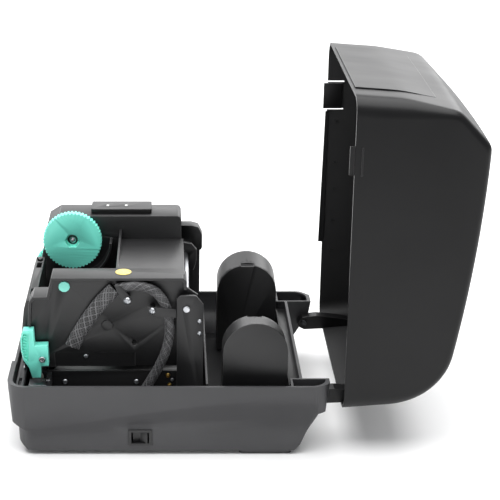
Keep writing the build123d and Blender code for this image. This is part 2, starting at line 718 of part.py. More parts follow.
# braided sleeves on the outside of the side plate
sleeve_x = plate_outer + harness_radius + 0.2
rear_route = [(-45, 142.8), (-30, 145), (-12, 138), (-0.5, 118), (1, 98), (-5, 74), (-19, 46), (-27.5, 32)]
front_route = [(-88, 84), (-78.5, 103.5), (-65, 124), (-48.8, 140.6)]


def bend_radii(points):
    """The largest arc that each corner of a route allows."""
    radii = []
    for before, corner, after in zip(points, points[1:], points[2:]):
        run_in, run_out = Vector(*corner) - Vector(*before), Vector(*after) - Vector(*corner)
        half_turn = math.radians(run_in.get_angle(run_out)) / 2
        radii.append(0.45 * min(run_in.length, run_out.length) / math.tan(half_turn))
    return radii


with BuildPart() as harness_rear:
    with BuildLine() as rear_path:
        FilletPolyline(*[(sleeve_x, y, z) for y, z in rear_route], radius=bend_radii(rear_route))
    with BuildSketch(Plane(rear_path.line @ 0, z_dir=rear_path.line % 0)):
        Circle(harness_radius)
    sweep()
save(harness_rear, "harness_rear")

flat_width, flat_thickness = 14.0, 5.0
with BuildPart() as harness_front:
    with BuildLine() as front_path:
        FilletPolyline(*[(plate_outer + 2.7, y, z) for y, z in front_route], radius=bend_radii(front_route))
    with BuildSketch(Plane(front_path.line @ 0, x_dir=(1, 0, 0), z_dir=front_path.line % 0)):
        RectangleRounded(flat_thickness, flat_width, 2.2)
    sweep()
save(harness_front, "harness_front")

clamp_x = plate_outer + 2 * harness_radius + 0.6
with BuildPart() as harness_clamps:
    add(slab([(-48.5, 147), (-43.5, 147), (-33, 134.5), (-34, 128.5), (-40, 129), (-43, 135)], clamp_x,
             clamp_x + 1.2))
    add(slab([(-19, 118.5), (-12, 116.5), (6, 116), (6, 124), (-19, 127)], clamp_x, clamp_x + 1.2))
    for y, z in clamp_screws:
        add(rod(plate_outer, clamp_x, y, z, 2.6))
save(harness_clamps, "harness_clamps")

with BuildPart() as module_screws:
    for y, z in clamp_screws:
        add(screw(clamp_x + 1.2, y, z, 3.6, 1.6))
    add(screw(plate_x + 1, -76, 72.5, 2.4, 1.6))
save(module_screws, "module_screws")

# ------------------------------------------------------------------ media bay
bay_front, bay_back = 33.0, tower_front - 0.5
bay_half = lower_half_width - wall - 0.4
ledge_z = 58.0
stem_half = 4.0                # a holder's stem through the slot in the tray
stem_back, stem_ahead = holder_y + 14, holder_y - 14
rack_top, rack_bottom = tray_floor - 0.4, tray_floor - 5.4
with BuildPart() as media_tray:
    add(block(-bay_half, bay_half, bay_front, bay_back - tray_wall, tray_floor, tray_floor + tray_wall))
    add(block(-bay_half + 16, bay_half - 16, bay_front, bay_front + tray_wall, tray_floor, 61))
    add(block(left_pocket_x + pocket_wall + 1, right_pocket_x - pocket_wall - 1, bay_back - tray_wall,
              bay_back, tray_floor, ledge_z + tray_wall))
    add(block(left_pocket_x + pocket_wall + 1, right_pocket_x - pocket_wall - 1, bay_back - tray_wall,
              rear_wall_y - wall - 0.3, ledge_z, ledge_z + tray_wall))
    # slots for the stems, one ahead of the pinion and one behind it
    for low, high, y in ((10, holder_inner_x + 20, stem_back), (-holder_inner_x - 20, -10, stem_ahead)):
        add(block(low, high, y - stem_half - 0.4, y + stem_half + 0.4, tray_floor - 1, tray_floor + 5),
            mode=Mode.SUBTRACT)
    # legs on the floor
    for x in (14.3 - bay_half, bay_half - 14.3):
        for y in (bay_front + 7, bay_back - 13.5):
            add(block(x - 3, x + 3, y - 3, y + 3, floor_top, tray_floor))
    # axle stud of the pinion
    with BuildSketch(Plane.XY.offset(rack_bottom - 1)):
        with Locations((0, holder_y)):
            Circle(3)
    extrude(amount=tray_floor - rack_bottom + 1.5)
save(media_tray, "media_tray")


def holder_outline(height):
    """A tombstone outline in (Y, Z): straight sides and a round head."""
    spring = height - holder_width / 2
    with BuildLine() as outline:
        Line((-holder_width / 2, holder_bottom), (holder_width / 2, holder_bottom))
        Line((holder_width / 2, holder_bottom), (holder_width / 2, spring))
        ThreePointArc((holder_width / 2, spring), (0, height), (-holder_width / 2, spring))
        Line((-holder_width / 2, spring), (-holder_width / 2, holder_bottom))
    return outline.line


def rack_points(length, face, away_side, first):
    """A straight rack along X whose pitch line is at face and whose teeth point to -away_side in Y."""
    pitch = math.pi * gear_module
    half_root = pitch / 4 - backlash / 2 + dedendum * math.tan(pressure_angle)
    half_tip = pitch / 4 - backlash / 2 - addendum * math.tan(pressure_angle)
    points = [(0, face + away_side * 4)]
    points.append((0, face + away_side * dedendum))
    tooth = first
    while tooth + half_root < length:
        points += [
            (tooth - half_root, face + away_side * dedendum),
            (tooth - half_tip, face - away_side * addendum),
            (tooth + half_tip, face - away_side * addendum),
            (tooth + half_root, face + away_side * dedendum),
        ]
        tooth += pitch
    points += [(length, face + away_side * dedendum), (length, face + away_side * 4)]
    return points


rack_pitch_radius = pitch_radius(rack_pinion_teeth)
tooth_pitch = math.pi * gear_module
rack_reach = holder_travel + 12.0       # how far a rack runs past the pinion when the holders are apart
for hand, node in ((1, "right"), (-1, "left")):
    stem_y = stem_back if hand > 0 else stem_ahead
    with BuildPart() as holder:
        inner_plane = side(hand * holder_inner_x, holder_y, 0)
        outer_plane = side(hand * (holder_inner_x + holder_thickness), holder_y, 0)
        with BuildSketch(inner_plane):
            with BuildLine():
                add(holder_outline(holder_top - holder_slope))
            make_face()
        with BuildSketch(outer_plane):
            with BuildLine():
                add(holder_outline(holder_top))
            make_face()
        loft()
        # notch at the top of the inner face and a hollow underneath
        notch_low, notch_high = sorted((hand * (holder_inner_x - 1), hand * (holder_inner_x + 5)))
        add(block(notch_low, notch_high, holder_y - 6.5, holder_y + 6.5, holder_top - holder_slope - 1.6,
                  holder_top + 2), mode=Mode.SUBTRACT)
        low, high = sorted((hand * (holder_inner_x + 3), hand * (holder_inner_x + holder_thickness - 3)))
        add(block(low, high, holder_y - holder_width / 2 + 3, holder_y + holder_width / 2 - 3,
                  holder_bottom - 1, 84),
            mode=Mode.SUBTRACT)
        # stem through the tray's slot
        low, high = sorted((hand * holder_inner_x, hand * (holder_inner_x + 12)))
        add(block(low, high, stem_y - stem_half, stem_y + stem_half, rack_bottom, holder_bottom + 12))
        # rack: its teeth meet the pinion from behind (right holder) or from ahead (left holder)
        face = holder_y + hand * rack_pitch_radius
        rack_length = holder_inner_x + rack_reach
        # the pinion has a tooth at 90 and at 270 degrees, so a rack has a gap at x = 0
        first = (rack_reach + tooth_pitch / 2) % tooth_pitch + tooth_pitch
        points = [(hand * (x - rack_reach), y) for x, y in rack_points(rack_length, face, hand, first)]
        with BuildSketch(Plane.XY.offset(rack_bottom)):
            with BuildLine():
                Polyline(*points, close=True)
            make_face()
        extrude(amount=rack_top - rack_bottom)
    save(holder, f"media_holder_{node}")

with BuildPart() as holder_pinion:
    with BuildSketch(Plane.XY.offset(rack_bottom)):
        outline = [(x, y + holder_y) for x, y in gear_outline(rack_pinion_teeth, 90)]
        with BuildLine():
            Polyline(*outline, close=True)
        make_face()
        with Locations((0, holder_y)):
            Circle(3 + running_gap, mode=Mode.SUBTRACT)
    extrude(amount=rack_top - rack_bottom)
save(holder_pinion, "holder_pinion")

# ------------------------------------------------------------------ electronics
board_z = floor_top + 3.0
with BuildPart() as board_standoffs:
    for x in (-74, 74):
        for y in (40, 100):
            with BuildSketch(Plane.XY.offset(floor_top)):
                with Locations((x, y)):
                    Circle(3.2)
            extrude(amount=board_z - floor_top)
save(board_standoffs, "board_standoffs")

with BuildPart() as main_board:
    add(block(-80, 80, bay_front + 3, bay_back + 3.5, board_z, board_z + 1.6))
    parts_on_board = ((-50, 52, 18, 18, 2), (-20, 100, 12, 6, 3), (40, 54, 14, 14, 2),
                      (66, bay_back - 3.5, 10, 8, 4))
    for x, y, wide, deep, high in parts_on_board:
        add(block(x - wide / 2, x + wide / 2, y - deep / 2, y + deep / 2, board_z + 1.5,
                  board_z + 1.5 + high))
save(main_board, "main_board")

port_back = rear_wall_y - 0.6
port_front = bay_back + 0.3
with BuildPart() as power_inlet:
    add(block(50.3, 61.7, port_front, port_back, 18.3, 28.7))
    with BuildSketch(Plane.XZ.offset(-port_back)):
        with Locations((56, 23.5)):
            Circle(3.2)
            Circle(1.1, mode=Mode.SUBTRACT)
    extrude(amount=6, mode=Mode.SUBTRACT)
    add(block(52, 60, port_front, port_front + 2, board_z + 1.6, 18.4))
save(power_inlet, "power_inlet")

with BuildPart() as usb_socket:
    add(block(10.3, 22.7, port_front, port_back, 18.3, 28.7))
    add(block(12, 21, port_front + 1.5, port_back + 1, 20, 27.3), mode=Mode.SUBTRACT)
    add(block(14, 19, port_front + 1, port_back - 2, 22, 25.2))
    add(block(12, 21, port_front, port_front + 2, board_z + 1.6, 18.4))
save(usb_socket, "usb_socket")

with BuildPart() as network_socket:
    add(block(-39.7, -23.3, port_front, port_back, 18.3, 31.7))
    add(block(-37.7, -25.3, port_front + 1.5, port_back + 1, 20.3, 29.5), mode=Mode.SUBTRACT)
    add(block(-38, -25, port_front, port_front + 2, board_z + 1.6, 18.4))
save(network_socket, "network_socket")

# ------------------------------------------------------------------ power switch
switch_face = lower_half_width
rocker_half_y, rocker_half_z = switch_width / 2 - 3.2, switch_height / 2 - 2.4
rocker_pivot_x = switch_face - 3.0
with BuildPart() as switch_body:
    add(block(switch_face, switch_face + switch_lip, switch_y - switch_width / 2,
              switch_y + switch_width / 2, switch_z - switch_height / 2, switch_z + switch_height / 2))
    fillet(switch_body.faces().sort_by(Axis.X)[-1].edges(), 0.6)
    add(block(switch_face - 15, switch_face, switch_y - switch_width / 2 + 1.2,
              switch_y + switch_width / 2 - 1.2,
              switch_z - switch_height / 2 + 1.4, switch_z + switch_height / 2 - 1.4))
    add(block(switch_face - 11, switch_face + 3, switch_y - rocker_half_y - 0.3,
              switch_y + rocker_half_y + 0.3,
              switch_z - rocker_half_z - 0.3, switch_z + rocker_half_z + 0.3), mode=Mode.SUBTRACT)
save(switch_body, "switch_body")

with BuildPart() as switch_rocker:
    with BuildSketch(Plane(origin=(rocker_pivot_x, switch_y, switch_z - rocker_half_z), x_dir=(0, 1, 0),
                           z_dir=(0, 0, 1))):
        with BuildLine():
            reach = rocker_half_y - 1.1
            # a shallow V whose rear half stands proud at rest
            Polyline((-reach, -1.2), (0, 0.3), (reach, -5.2), (reach * 0.8, 3.5), (0, 5), (-reach, 1.2),
                     close=True)
        make_face()
    extrude(amount=2 * rocker_half_z)
save(switch_rocker, "switch_rocker")

# ------------------------------------------------------------------ lid
# The lid is drawn closed, in (Y, Z) of the closed printer, and its planes stand it open by 90 degrees.
lid_top = rim_height + lid_height
rear_gap = 1.2                 # the rear rim swings past the pockets' edges
lid_rim = rim_height + lid_gap


def lid_side(x):
    """A sketch plane facing +X for outlines given about the hinge axis, in the closed lid's directions."""
    return Plane(origin=(x, hinge_y, hinge_z), x_dir=(0, 0, -1), z_dir=(1, 0, 0))


def lid_plan(z):
    """A sketch plane at height z of the closed lid: sketch y runs to the back of the closed lid."""
    return Plane(origin=(0, hinge_y + z - hinge_z, hinge_z + hinge_y), x_dir=(1, 0, 0), z_dir=(0, 1, 0))


def about_hinge(*points):
    """Points (Y, Z) of the closed lid, measured from the hinge axis."""
    return [(y - hinge_y, z - hinge_z) for y, z in points]


def lid_slab(points, x_from, x_to):
    """An outline of the closed lid, extruded along X."""
    with BuildPart() as piece:
        with BuildSketch(lid_side(x_from)):
            with BuildLine():
                Polyline(*about_hinge(*points), close=True)
            make_face()
        extrude(amount=x_to - x_from)
    return piece.part


def lid_rod(x, y, z_from, z_to, radius):
    """A round bar that is upright when the lid is closed."""
    with BuildPart() as piece:
        with BuildSketch(lid_plan(z_from)):
            with Locations((x, y)):
                Circle(radius)
        extrude(amount=z_to - z_from)
    return piece.part


front_points = [(-half_length, lid_rim), (-half_length + 3, lid_rim + 42.2),
                (-half_length + 10.5, lid_rim + 87.2), (-half_length + 41, lid_top)]
rear_points = [(half_length - 49, lid_top - 20), (half_length - 17, lid_top - 41.5),
               (half_length - 3.5, lid_top - 74)]
rear_rim = (half_length, rim_height + rear_gap)


def lid_form(inset):
    """The lid's outer form, or the form inside its walls."""
    with BuildPart() as form:
        with BuildSketch(lid_side(-half_width + inset)):
            with BuildLine():
                front = about_hinge(*front_points)
                rear = about_hinge(*rear_points)
                rim = about_hinge(rear_rim, (tower_front + 2, rear_rim[1]), (tower_front + 2, lid_rim))
                crown = about_hinge((0, lid_top - 6.5))[0]
                Polyline(*front)
                ThreePointArc(front[-1], crown, rear[0])
                ThreePointArc(*rear)
                Polyline(rear[-1], *rim, front[0])
            make_face()
            if inset:
                offset(amount=-inset, kind=Kind.INTERSECTION, mode=Mode.REPLACE)
        extrude(amount=base_width - 2 * inset)
        with BuildSketch(lid_plan(lid_rim - 5)):
            RectangleRounded(base_width - 2 * inset, base_length - 2 * inset, corner_radius - inset)
        extrude(amount=lid_height + 20, mode=Mode.INTERSECT)
    return form.part


button_x, button_y, button_radius = 40.0, -72.0, 6.5
lens_y = (-92.0, -99.0)
arm_right = (right_pocket_x - 14, right_pocket_x - pocket_wall - 1)
arm_left = (left_pocket_x + pocket_wall + 1.5, left_pocket_x + 14)
arm_outline = [
    (hinge_y - 5.7, hinge_z - 1.6), (hinge_y + 2.3, hinge_z - 6.6), (hinge_y + 7.8, hinge_z + 0.4),
    (hinge_y + 5.5, hinge_z + 50.4), (hinge_y + 1.3, hinge_z + 62.4), (hinge_y - 4.7, hinge_z + 36.4),
    (hinge_y - 7.2, hinge_z + 12.4),
]
tab_front, tab_back = -102.0, -77.0
ridge_low = lid_rim + 5.2

with BuildPart() as lid_shell:
    add(lid_form(0))
    add(lid_form(wall), mode=Mode.SUBTRACT)
    # the mouth
    with BuildSketch(lid_plan(lid_rim - 4)):
        RectangleRounded(base_width - 2 * wall, base_length - 2 * wall + 0.6, corner_radius - wall)
    extrude(amount=4 + 2 * wall + rear_gap, mode=Mode.SUBTRACT)
    for low, high in (arm_right, arm_left):
        add(lid_slab(arm_outline, low, high))
    add(rod(-half_width, half_width, hinge_y, hinge_z, hinge_pin_radius + running_gap), mode=Mode.SUBTRACT)
    # button and lens holes
    add(lid_rod(button_x, button_y, 150, lid_top + 5, button_radius + 0.35), mode=Mode.SUBTRACT)
    for y in lens_y:
        add(lid_rod(button_x, y, 150, lid_top + 5, 2.2), mode=Mode.SUBTRACT)
    # finger ridge along its right side
    add(lid_slab([(tab_front, ridge_low), (tab_back, ridge_low), (tab_back, ridge_low + 2),
                  (tab_front, ridge_low + 2)],
                 half_width - 0.5, half_width + 0.8))
save(lid_shell, "lid_shell")

panel_half, panel_proud = 76.0, 1.2
with BuildPart() as lid_front_panel:
    outer = [(y - panel_proud, z) for y, z in front_points[:3]]
    outer[0] = (outer[0][0], lid_rim + 2)
    inner_low = (front_points[0][0] + 2 * 3 / 42.2, lid_rim + 2)
    add(lid_slab([*outer, front_points[2], front_points[1], inner_low], -panel_half, panel_half))
save(lid_front_panel, "lid_front_panel")

with BuildPart() as lid_tabs:
    for hand in (1, -1):
        inner, outer = half_width - wall - 2.7, half_width - wall
        low, high = sorted((hand * inner, hand * outer))
        add(lid_slab([(tab_front, lid_rim), (tab_back, lid_rim), (tab_back, lid_rim + 14.2),
                      (tab_front, lid_rim + 14.2)],
                     low, high))
        low, high = sorted((hand * inner, hand * (outer - 0.6)))
        add(lid_slab([(tab_front, lid_rim - 3.8), (tab_back, lid_rim - 3.8), (tab_back, lid_rim),
                      (tab_front, lid_rim)],
                     low, high))
save(lid_tabs, "lid_tabs")

with BuildPart() as hinge_pins:
    add(rod(arm_right[0] - 1, right_pocket_x, hinge_y, hinge_z, hinge_pin_radius))
    add(rod(left_pocket_x, arm_left[1] + 1, hinge_y, hinge_z, hinge_pin_radius))
save(hinge_pins, "hinge_pins")

button_surface = lid_top - 2.0
with BuildPart() as feed_button:
    add(lid_rod(button_x, button_y, button_surface - 8, button_surface + 1.8, button_radius))
    fillet(feed_button.edges().group_by(Axis.Y)[-1], 1.2)
save(feed_button, "feed_button")

with BuildPart() as indicator_lens:
    for y in lens_y:
        add(lid_rod(button_x, y, lid_top - 7, lid_top - 0.3, 2.2))
save(indicator_lens, "indicator_lens")

panel_board_z = 166.0
with BuildPart() as panel_board:
    with BuildSketch(lid_plan(panel_board_z)):
        with Locations((button_x, -84)):
            Rectangle(36, 42)
    extrude(amount=1.6)
    add(lid_rod(button_x, button_y, panel_board_z + 1.6, button_surface - 8 - button_travel - 0.2, 2.6))
    for x in (button_x - 15, button_x + 15):
        add(lid_rod(x, -68, panel_board_z + 1.6, lid_top - 5.4, 2.4))
save(panel_board, "panel_board")
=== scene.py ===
"""A four-inch desktop label printer with its lid standing open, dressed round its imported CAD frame.

Sizes in the classes are millimetres, in the frame's own directions: +X is the power switch's side,
-Y is the front and +Z is up. Every finished mesh is in metres with its object at the origin.
"""
import json
import logging
import math
from dataclasses import dataclass, field
from enum import Enum
from typing import Callable, Iterable, Sequence

import bmesh
import bpy
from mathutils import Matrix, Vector

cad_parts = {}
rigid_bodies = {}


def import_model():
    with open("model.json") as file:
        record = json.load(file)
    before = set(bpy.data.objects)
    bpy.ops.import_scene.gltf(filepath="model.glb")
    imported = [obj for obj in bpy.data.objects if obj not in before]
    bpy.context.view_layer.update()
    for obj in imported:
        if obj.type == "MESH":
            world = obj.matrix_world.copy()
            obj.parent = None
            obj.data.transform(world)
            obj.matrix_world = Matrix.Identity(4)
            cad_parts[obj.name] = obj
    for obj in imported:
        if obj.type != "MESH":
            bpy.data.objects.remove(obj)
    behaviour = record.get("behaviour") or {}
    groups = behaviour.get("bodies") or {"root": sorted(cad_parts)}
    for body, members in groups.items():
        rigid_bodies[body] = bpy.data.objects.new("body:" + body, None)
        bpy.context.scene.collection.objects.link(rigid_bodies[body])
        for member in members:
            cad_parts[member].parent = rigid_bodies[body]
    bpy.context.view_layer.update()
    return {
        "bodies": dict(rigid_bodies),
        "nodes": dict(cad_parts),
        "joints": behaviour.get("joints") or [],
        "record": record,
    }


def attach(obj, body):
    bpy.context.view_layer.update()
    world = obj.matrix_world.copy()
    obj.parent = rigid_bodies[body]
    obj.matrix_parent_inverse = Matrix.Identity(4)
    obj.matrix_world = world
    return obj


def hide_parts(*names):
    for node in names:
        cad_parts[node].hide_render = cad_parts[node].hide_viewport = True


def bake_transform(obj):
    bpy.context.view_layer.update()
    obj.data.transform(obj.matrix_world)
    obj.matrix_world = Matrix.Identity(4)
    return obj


LOG = logging.getLogger("label_printer")
MM = 0.001
Point = tuple[float, float, float]
Flat = tuple[float, float]


# ------------------------------------------------------------------ small tools
def linear(code: str) -> tuple[float, float, float, float]:
    """Turn an sRGB colour into the linear one that shaders take.

    Args:
        code: The colour as #rrggbb.

    Returns:
        Linear red, green and blue, and an alpha of 1.
    """
    parts = [int(code[i:i + 2], 16) / 255 for i in (1, 3, 5)]
    red, green, blue = [p / 12.92 if p <= 0.04045 else ((p + 0.055) / 1.055) ** 2.4 for p in parts]
    return red, green, blue, 1.0


def add_node(tree: bpy.types.NodeTree, kind: str, settings: dict | None = None,
             links: dict | None = None) -> bpy.types.Node:
    """Add one node with its settings and its incoming links.

    Args:
        tree: The shader or geometry tree.
        kind: The node's type name.
        settings: Socket values and node properties, by name or by socket number.
        links: The output that feeds each socket, by name or by socket number.

    Returns:
        The new node.
    """
    node = tree.nodes.new(kind)
    for name, value in (settings or {}).items():
        if isinstance(name, int) or name in node.inputs:
            node.inputs[name].default_value = value
        else:
            setattr(node, name, value)
    for name, source in (links or {}).items():
        tree.links.new(source, node.inputs[name])
    return node


def smoothstep(low: float, high: float, value: float) -> float:
    """Ease from 0 at low to 1 at high."""
    share = min(1.0, max(0.0, (value - low) / (high - low)))
    return share * share * (3 - 2 * share)


# ------------------------------------------------------------------ finishes
@dataclass(frozen=True)
class Finish:
    """A real surface, with the numbers that its look starts from.

    Attributes:
        name: What the surface is and how it was made.
        colour: Main colour, sRGB.
        shade: Second colour that the surface drifts towards, sRGB.
        roughness: Typical roughness of the surface.
        grain: Width of its finest visible texture, in mm.
        relief: Height of that texture, in mm.
    """

    name: str
    colour: str
    shade: str
    roughness: float
    grain: float = 1.2
    relief: float = 0.02

    def material(self) -> bpy.types.Material:
        """Return this finish's material, made the first time that it is asked for."""
        found = bpy.data.materials.get(self.name)
        if found:
            return found
        made = bpy.data.materials.new(self.name)
        made.use_nodes = True
        made.node_tree.nodes.clear()
        surface = self.surface(made.node_tree)
        add_node(made.node_tree, "ShaderNodeOutputMaterial", links={"Surface": surface.outputs[0]})
        made.diffuse_color = linear(self.colour)
        return made

    def noise(self, tree: bpy.types.NodeTree, size: float, detail: float = 2.0,
              stretch: Point = (1, 1, 1)) -> bpy.types.NodeSocket:
        """Add noise in object coordinates.

        Args:
            tree: The material's tree.
            size: Width of one blotch, in mm.
            detail: Octaves of finer noise.
            stretch: How much finer it is along X, Y and Z.

        Returns:
            The socket with the noise's value.
        """
        place = add_node(tree, "ShaderNodeTexCoord")
        scaled = add_node(tree, "ShaderNodeMapping", {"Scale": stretch},
                          {"Vector": place.outputs["Object"]})
        noise = add_node(tree, "ShaderNodeTexNoise", {"Scale": 1 / (size * MM), "Detail": detail},
                         {"Vector": scaled.outputs["Vector"]})
        return noise.outputs[0]

    def drift(self, tree: bpy.types.NodeTree, source: bpy.types.NodeSocket) -> bpy.types.NodeSocket:
        """Mix the two colours by a noise and return the colour socket."""
        share = add_node(tree, "ShaderNodeMapRange", {"From Min": 0.35, "From Max": 0.65},
                         {"Value": source})
        mix = add_node(tree, "ShaderNodeMix",
                       {"data_type": "RGBA", 6: linear(self.colour), 7: linear(self.shade)},
                       {0: share.outputs[0]})
        return mix.outputs[2]

    def texture(self, tree: bpy.types.NodeTree, height: bpy.types.NodeSocket) -> bpy.types.NodeSocket:
        """Raise the finest texture by its relief and return the normal socket."""
        bump = add_node(tree, "ShaderNodeBump", {"Strength": 1.0, "Distance": self.relief * MM},
                        {"Height": height})
        return bump.outputs[0]

    def gloss(self, tree: bpy.types.NodeTree, spread: float,
              source: bpy.types.NodeSocket) -> bpy.types.NodeSocket:
        """Vary the roughness by a noise, spread either side of its typical value."""
        levels = {"To Min": self.roughness - spread, "To Max": self.roughness + spread}
        return add_node(tree, "ShaderNodeMapRange", levels, {"Value": source}).outputs[0]

    def surface(self, tree: bpy.types.NodeTree) -> bpy.types.Node:
        """Build the shader of this finish and return its node."""
        raise NotImplementedError


@dataclass(frozen=True)
class Moulded(Finish):
    """Injection-moulded thermoplastic: spark-eroded grain, faint flow marks and handling sheen."""

    specular: float = 0.5

    def surface(self, tree: bpy.types.NodeTree) -> bpy.types.Node:
        """Build the moulded plastic's shader."""
        flow = self.noise(tree, 70, 3)
        grain = self.noise(tree, self.grain, 1)
        smear = self.noise(tree, 24, 2, (1, 0.35, 1))
        settings = {"IOR": 1.53, "Specular IOR Level": self.specular}
        links = {"Base Color": self.drift(tree, flow), "Roughness": self.gloss(tree, 0.06, smear),
                 "Normal": self.texture(tree, grain)}
        return add_node(tree, "ShaderNodeBsdfPrincipled", settings, links)


@dataclass(frozen=True)
class Metal(Finish):
    """Bare or plated metal with fine marks from turning, drawing or handling."""

    run: Point = (1.0, 1.0, 1.0)

    def surface(self, tree: bpy.types.NodeTree) -> bpy.types.Node:
        """Build the metal's shader."""
        marks = self.noise(tree, self.grain, 2, self.run)
        cloud = self.noise(tree, 9, 2)
        links = {"Base Color": self.drift(tree, cloud), "Roughness": self.gloss(tree, 0.08, cloud),
                 "Normal": self.texture(tree, marks)}
        return add_node(tree, "ShaderNodeBsdfPrincipled", {"Metallic": 1.0}, links)


@dataclass(frozen=True)
class Braided(Finish):
    """Polyester monofilament: each bundle has its own tone, and its threads run along it."""

    def surface(self, tree: bpy.types.NodeTree) -> bpy.types.Node:
        """Build the braid's shader from the bundles' tone and their own length and width."""
        tone = add_node(tree, "ShaderNodeAttribute", {"attribute_name": "tone"})
        along = add_node(tree, "ShaderNodeUVMap", {"uv_map": "UVMap"})
        threads = add_node(tree, "ShaderNodeTexWave", {"Scale": 1.0, "bands_direction": "X"},
                           {"Vector": along.outputs[0]})
        mix = add_node(tree, "ShaderNodeMix",
                       {"data_type": "RGBA", 6: linear(self.colour), 7: linear(self.shade)},
                       {0: tone.outputs["Fac"]})
        bump = add_node(tree, "ShaderNodeBump", {"Strength": 0.6, "Distance": self.relief * MM},
                        {"Height": threads.outputs["Fac"]})
        settings = {"IOR": 1.57, "Roughness": self.roughness, "Sheen Weight": 0.25}
        return add_node(tree, "ShaderNodeBsdfPrincipled", settings,
                        {"Base Color": mix.outputs[2], "Normal": bump.outputs[0]})


@dataclass(frozen=True)
class Coated(Finish):
    """A clear-coated surface, such as solder mask over copper or varnished paper."""

    coat: float = 0.5
    blotch: float = 3.0

    def surface(self, tree: bpy.types.NodeTree) -> bpy.types.Node:
        """Build the coated surface's shader."""
        under = self.noise(tree, self.blotch, 1, (1, 3, 1))
        fine = self.noise(tree, self.grain, 1)
        settings = {"IOR": 1.5, "Coat Weight": self.coat, "Coat Roughness": 0.12}
        links = {"Base Color": self.drift(tree, under), "Roughness": self.gloss(tree, 0.05, fine),
                 "Normal": self.texture(tree, fine)}
        return add_node(tree, "ShaderNodeBsdfPrincipled", settings, links)


@dataclass(frozen=True)
class ClearMoulding(Finish):
    """Clear polycarbonate, diffused a little by its back face."""

    def surface(self, tree: bpy.types.NodeTree) -> bpy.types.Node:
        """Build the clear lens's shader."""
        haze = self.noise(tree, self.grain, 1)
        settings = {"Base Color": linear(self.colour), "IOR": 1.58, "Transmission Weight": 0.7}
        return add_node(tree, "ShaderNodeBsdfPrincipled", settings,
                        {"Roughness": self.gloss(tree, 0.05, haze), "Normal": self.texture(tree, haze)})


# charcoal ABS with a spark-eroded grain: a flat, even sheen that lifts on faces turned to the light
HOUSING = Moulded("abs_charcoal_spark_eroded", "#353537", "#3a3a3c", 0.5, 1.3, 0.018)
# the same ABS on its rounded edges: the lower roughness stands for the polish that handling and the mould's
# parting line give it, and the lighter colour is a painted highlight along the thin edge
HOUSING_EDGE_PAINTED_HIGHLIGHT = Moulded("abs_charcoal_polished_edge_painted_highlight", "#4a4a4c", "#525254", 0.36, 1.3, 0.008)
# black ABS of the lid, moulded smoother: dark and satin, so that it mirrors the studio softly
LID = Moulded("abs_black_satin", "#0b0b0c", "#0f0f10", 0.38, 1.6, 0.006, 0.24)
# lighter copy of the lid's black for its rounded edges: lower roughness and more specular, and a lighter
# colour that is a painted highlight along the edges
LID_EDGE_PAINTED_HIGHLIGHT = Moulded("abs_black_satin_edge_painted_highlight", "#19191a", "#1e1e1f", 0.3, 1.6, 0.004, 0.4)
# the lid's inside is left rougher by the core of the mould: dull and a little greyer
LID_INNER = Moulded("abs_black_core_side", "#121213", "#161617", 0.6, 1.5, 0.02)
# black polycarbonate-ABS of the mechanism: fine grain, slightly warm black
MECHANISM = Moulded("pc_abs_black_fine_grain", "#161617", "#1a1a1b", 0.42, 1.1, 0.014)
# lighter copy of the mechanism's black for its rounded edges: lower roughness, and a lighter colour that is
# a painted highlight along the edges
MECHANISM_EDGE_PAINTED_HIGHLIGHT = Moulded("pc_abs_black_edge_painted_highlight", "#303031", "#383839", 0.32, 1.1, 0.006)
# mint polypropylene of the parts that the user touches: milky, low gloss
MINT = Moulded("polypropylene_mint_moulded", "#82f4df", "#78ecd7", 0.42, 1.0, 0.01)
# paler copy of the mint for its rounded edges: lower roughness, and a paler colour that is a painted
# highlight along the edges
MINT_EDGE_PAINTED_HIGHLIGHT = Moulded("polypropylene_mint_edge_painted_highlight", "#8ff0de", "#84ead7", 0.36, 1.0, 0.004)
# acetal gears: waxy off-white
ACETAL = Moulded("acetal_natural_moulded", "#d9d6cb", "#cfccc0", 0.38, 0.9, 0.008)
# zinc-plated steel sheet and turned steel: pale grey with faint drawing marks
STEEL = Metal("steel_zinc_plated", "#c4c6c9", "#aeb1b5", 0.3, 0.5, 0.006, (1.0, 0.15, 1.0))
# blackened steel of the pivot plate
BLACK_STEEL = Metal("steel_black_oxide", "#47484a", "#3d3e40", 0.46, 0.8, 0.01)
# brass of the small terminal screws
BRASS = Metal("brass_turned", "#d8b468", "#c79f52", 0.28, 0.5, 0.005)
# silicone rubber of the platen and the feet: dead matt
RUBBER = Moulded("silicone_rubber_matt", "#232425", "#2b2c2d", 0.78, 0.8, 0.02, 0.3)
# braided polyester sleeve: grey-black bundles that catch small highlights
BRAID = Braided("polyester_braided_sleeve", "#2a2a2b", "#6e6e70", 0.42, 0.3, 0.03)
# insulated wires inside the sleeve
WIRE = Moulded("pvc_wire_insulation", "#1c1c1d", "#28282a", 0.4, 0.6, 0.006)
# green solder mask over copper tracks
BOARD = Coated("solder_mask_green", "#17512f", "#1d6339", 0.35, 0.7, 0.01, 0.6, 2.2)
# epoxy of the chips
EPOXY = Moulded("epoxy_chip_matt", "#18191b", "#202123", 0.55, 0.6, 0.01)
# varnished yellow paper dot
LABEL = Coated("paper_label_yellow_varnished", "#e6d27a", "#dcc564", 0.5, 0.8, 0.01, 0.2, 4.0)
# clear polycarbonate lenses
LENS = ClearMoulding("polycarbonate_clear", "#dfe7ea", "#dfe7ea", 0.12, 0.8, 0.004)
# white paint of the two raised marks
PAINT = Coated("pad_print_white", "#d8d8d6", "#cbcbc9", 0.45, 0.5, 0.006, 0.3, 2.0)
# matt backdrop paper
PAPER = Coated("backdrop_paper_matt", "#f4f4f4", "#f2f2f2", 0.9, 40.0, 0.0, 0.0, 900.0)


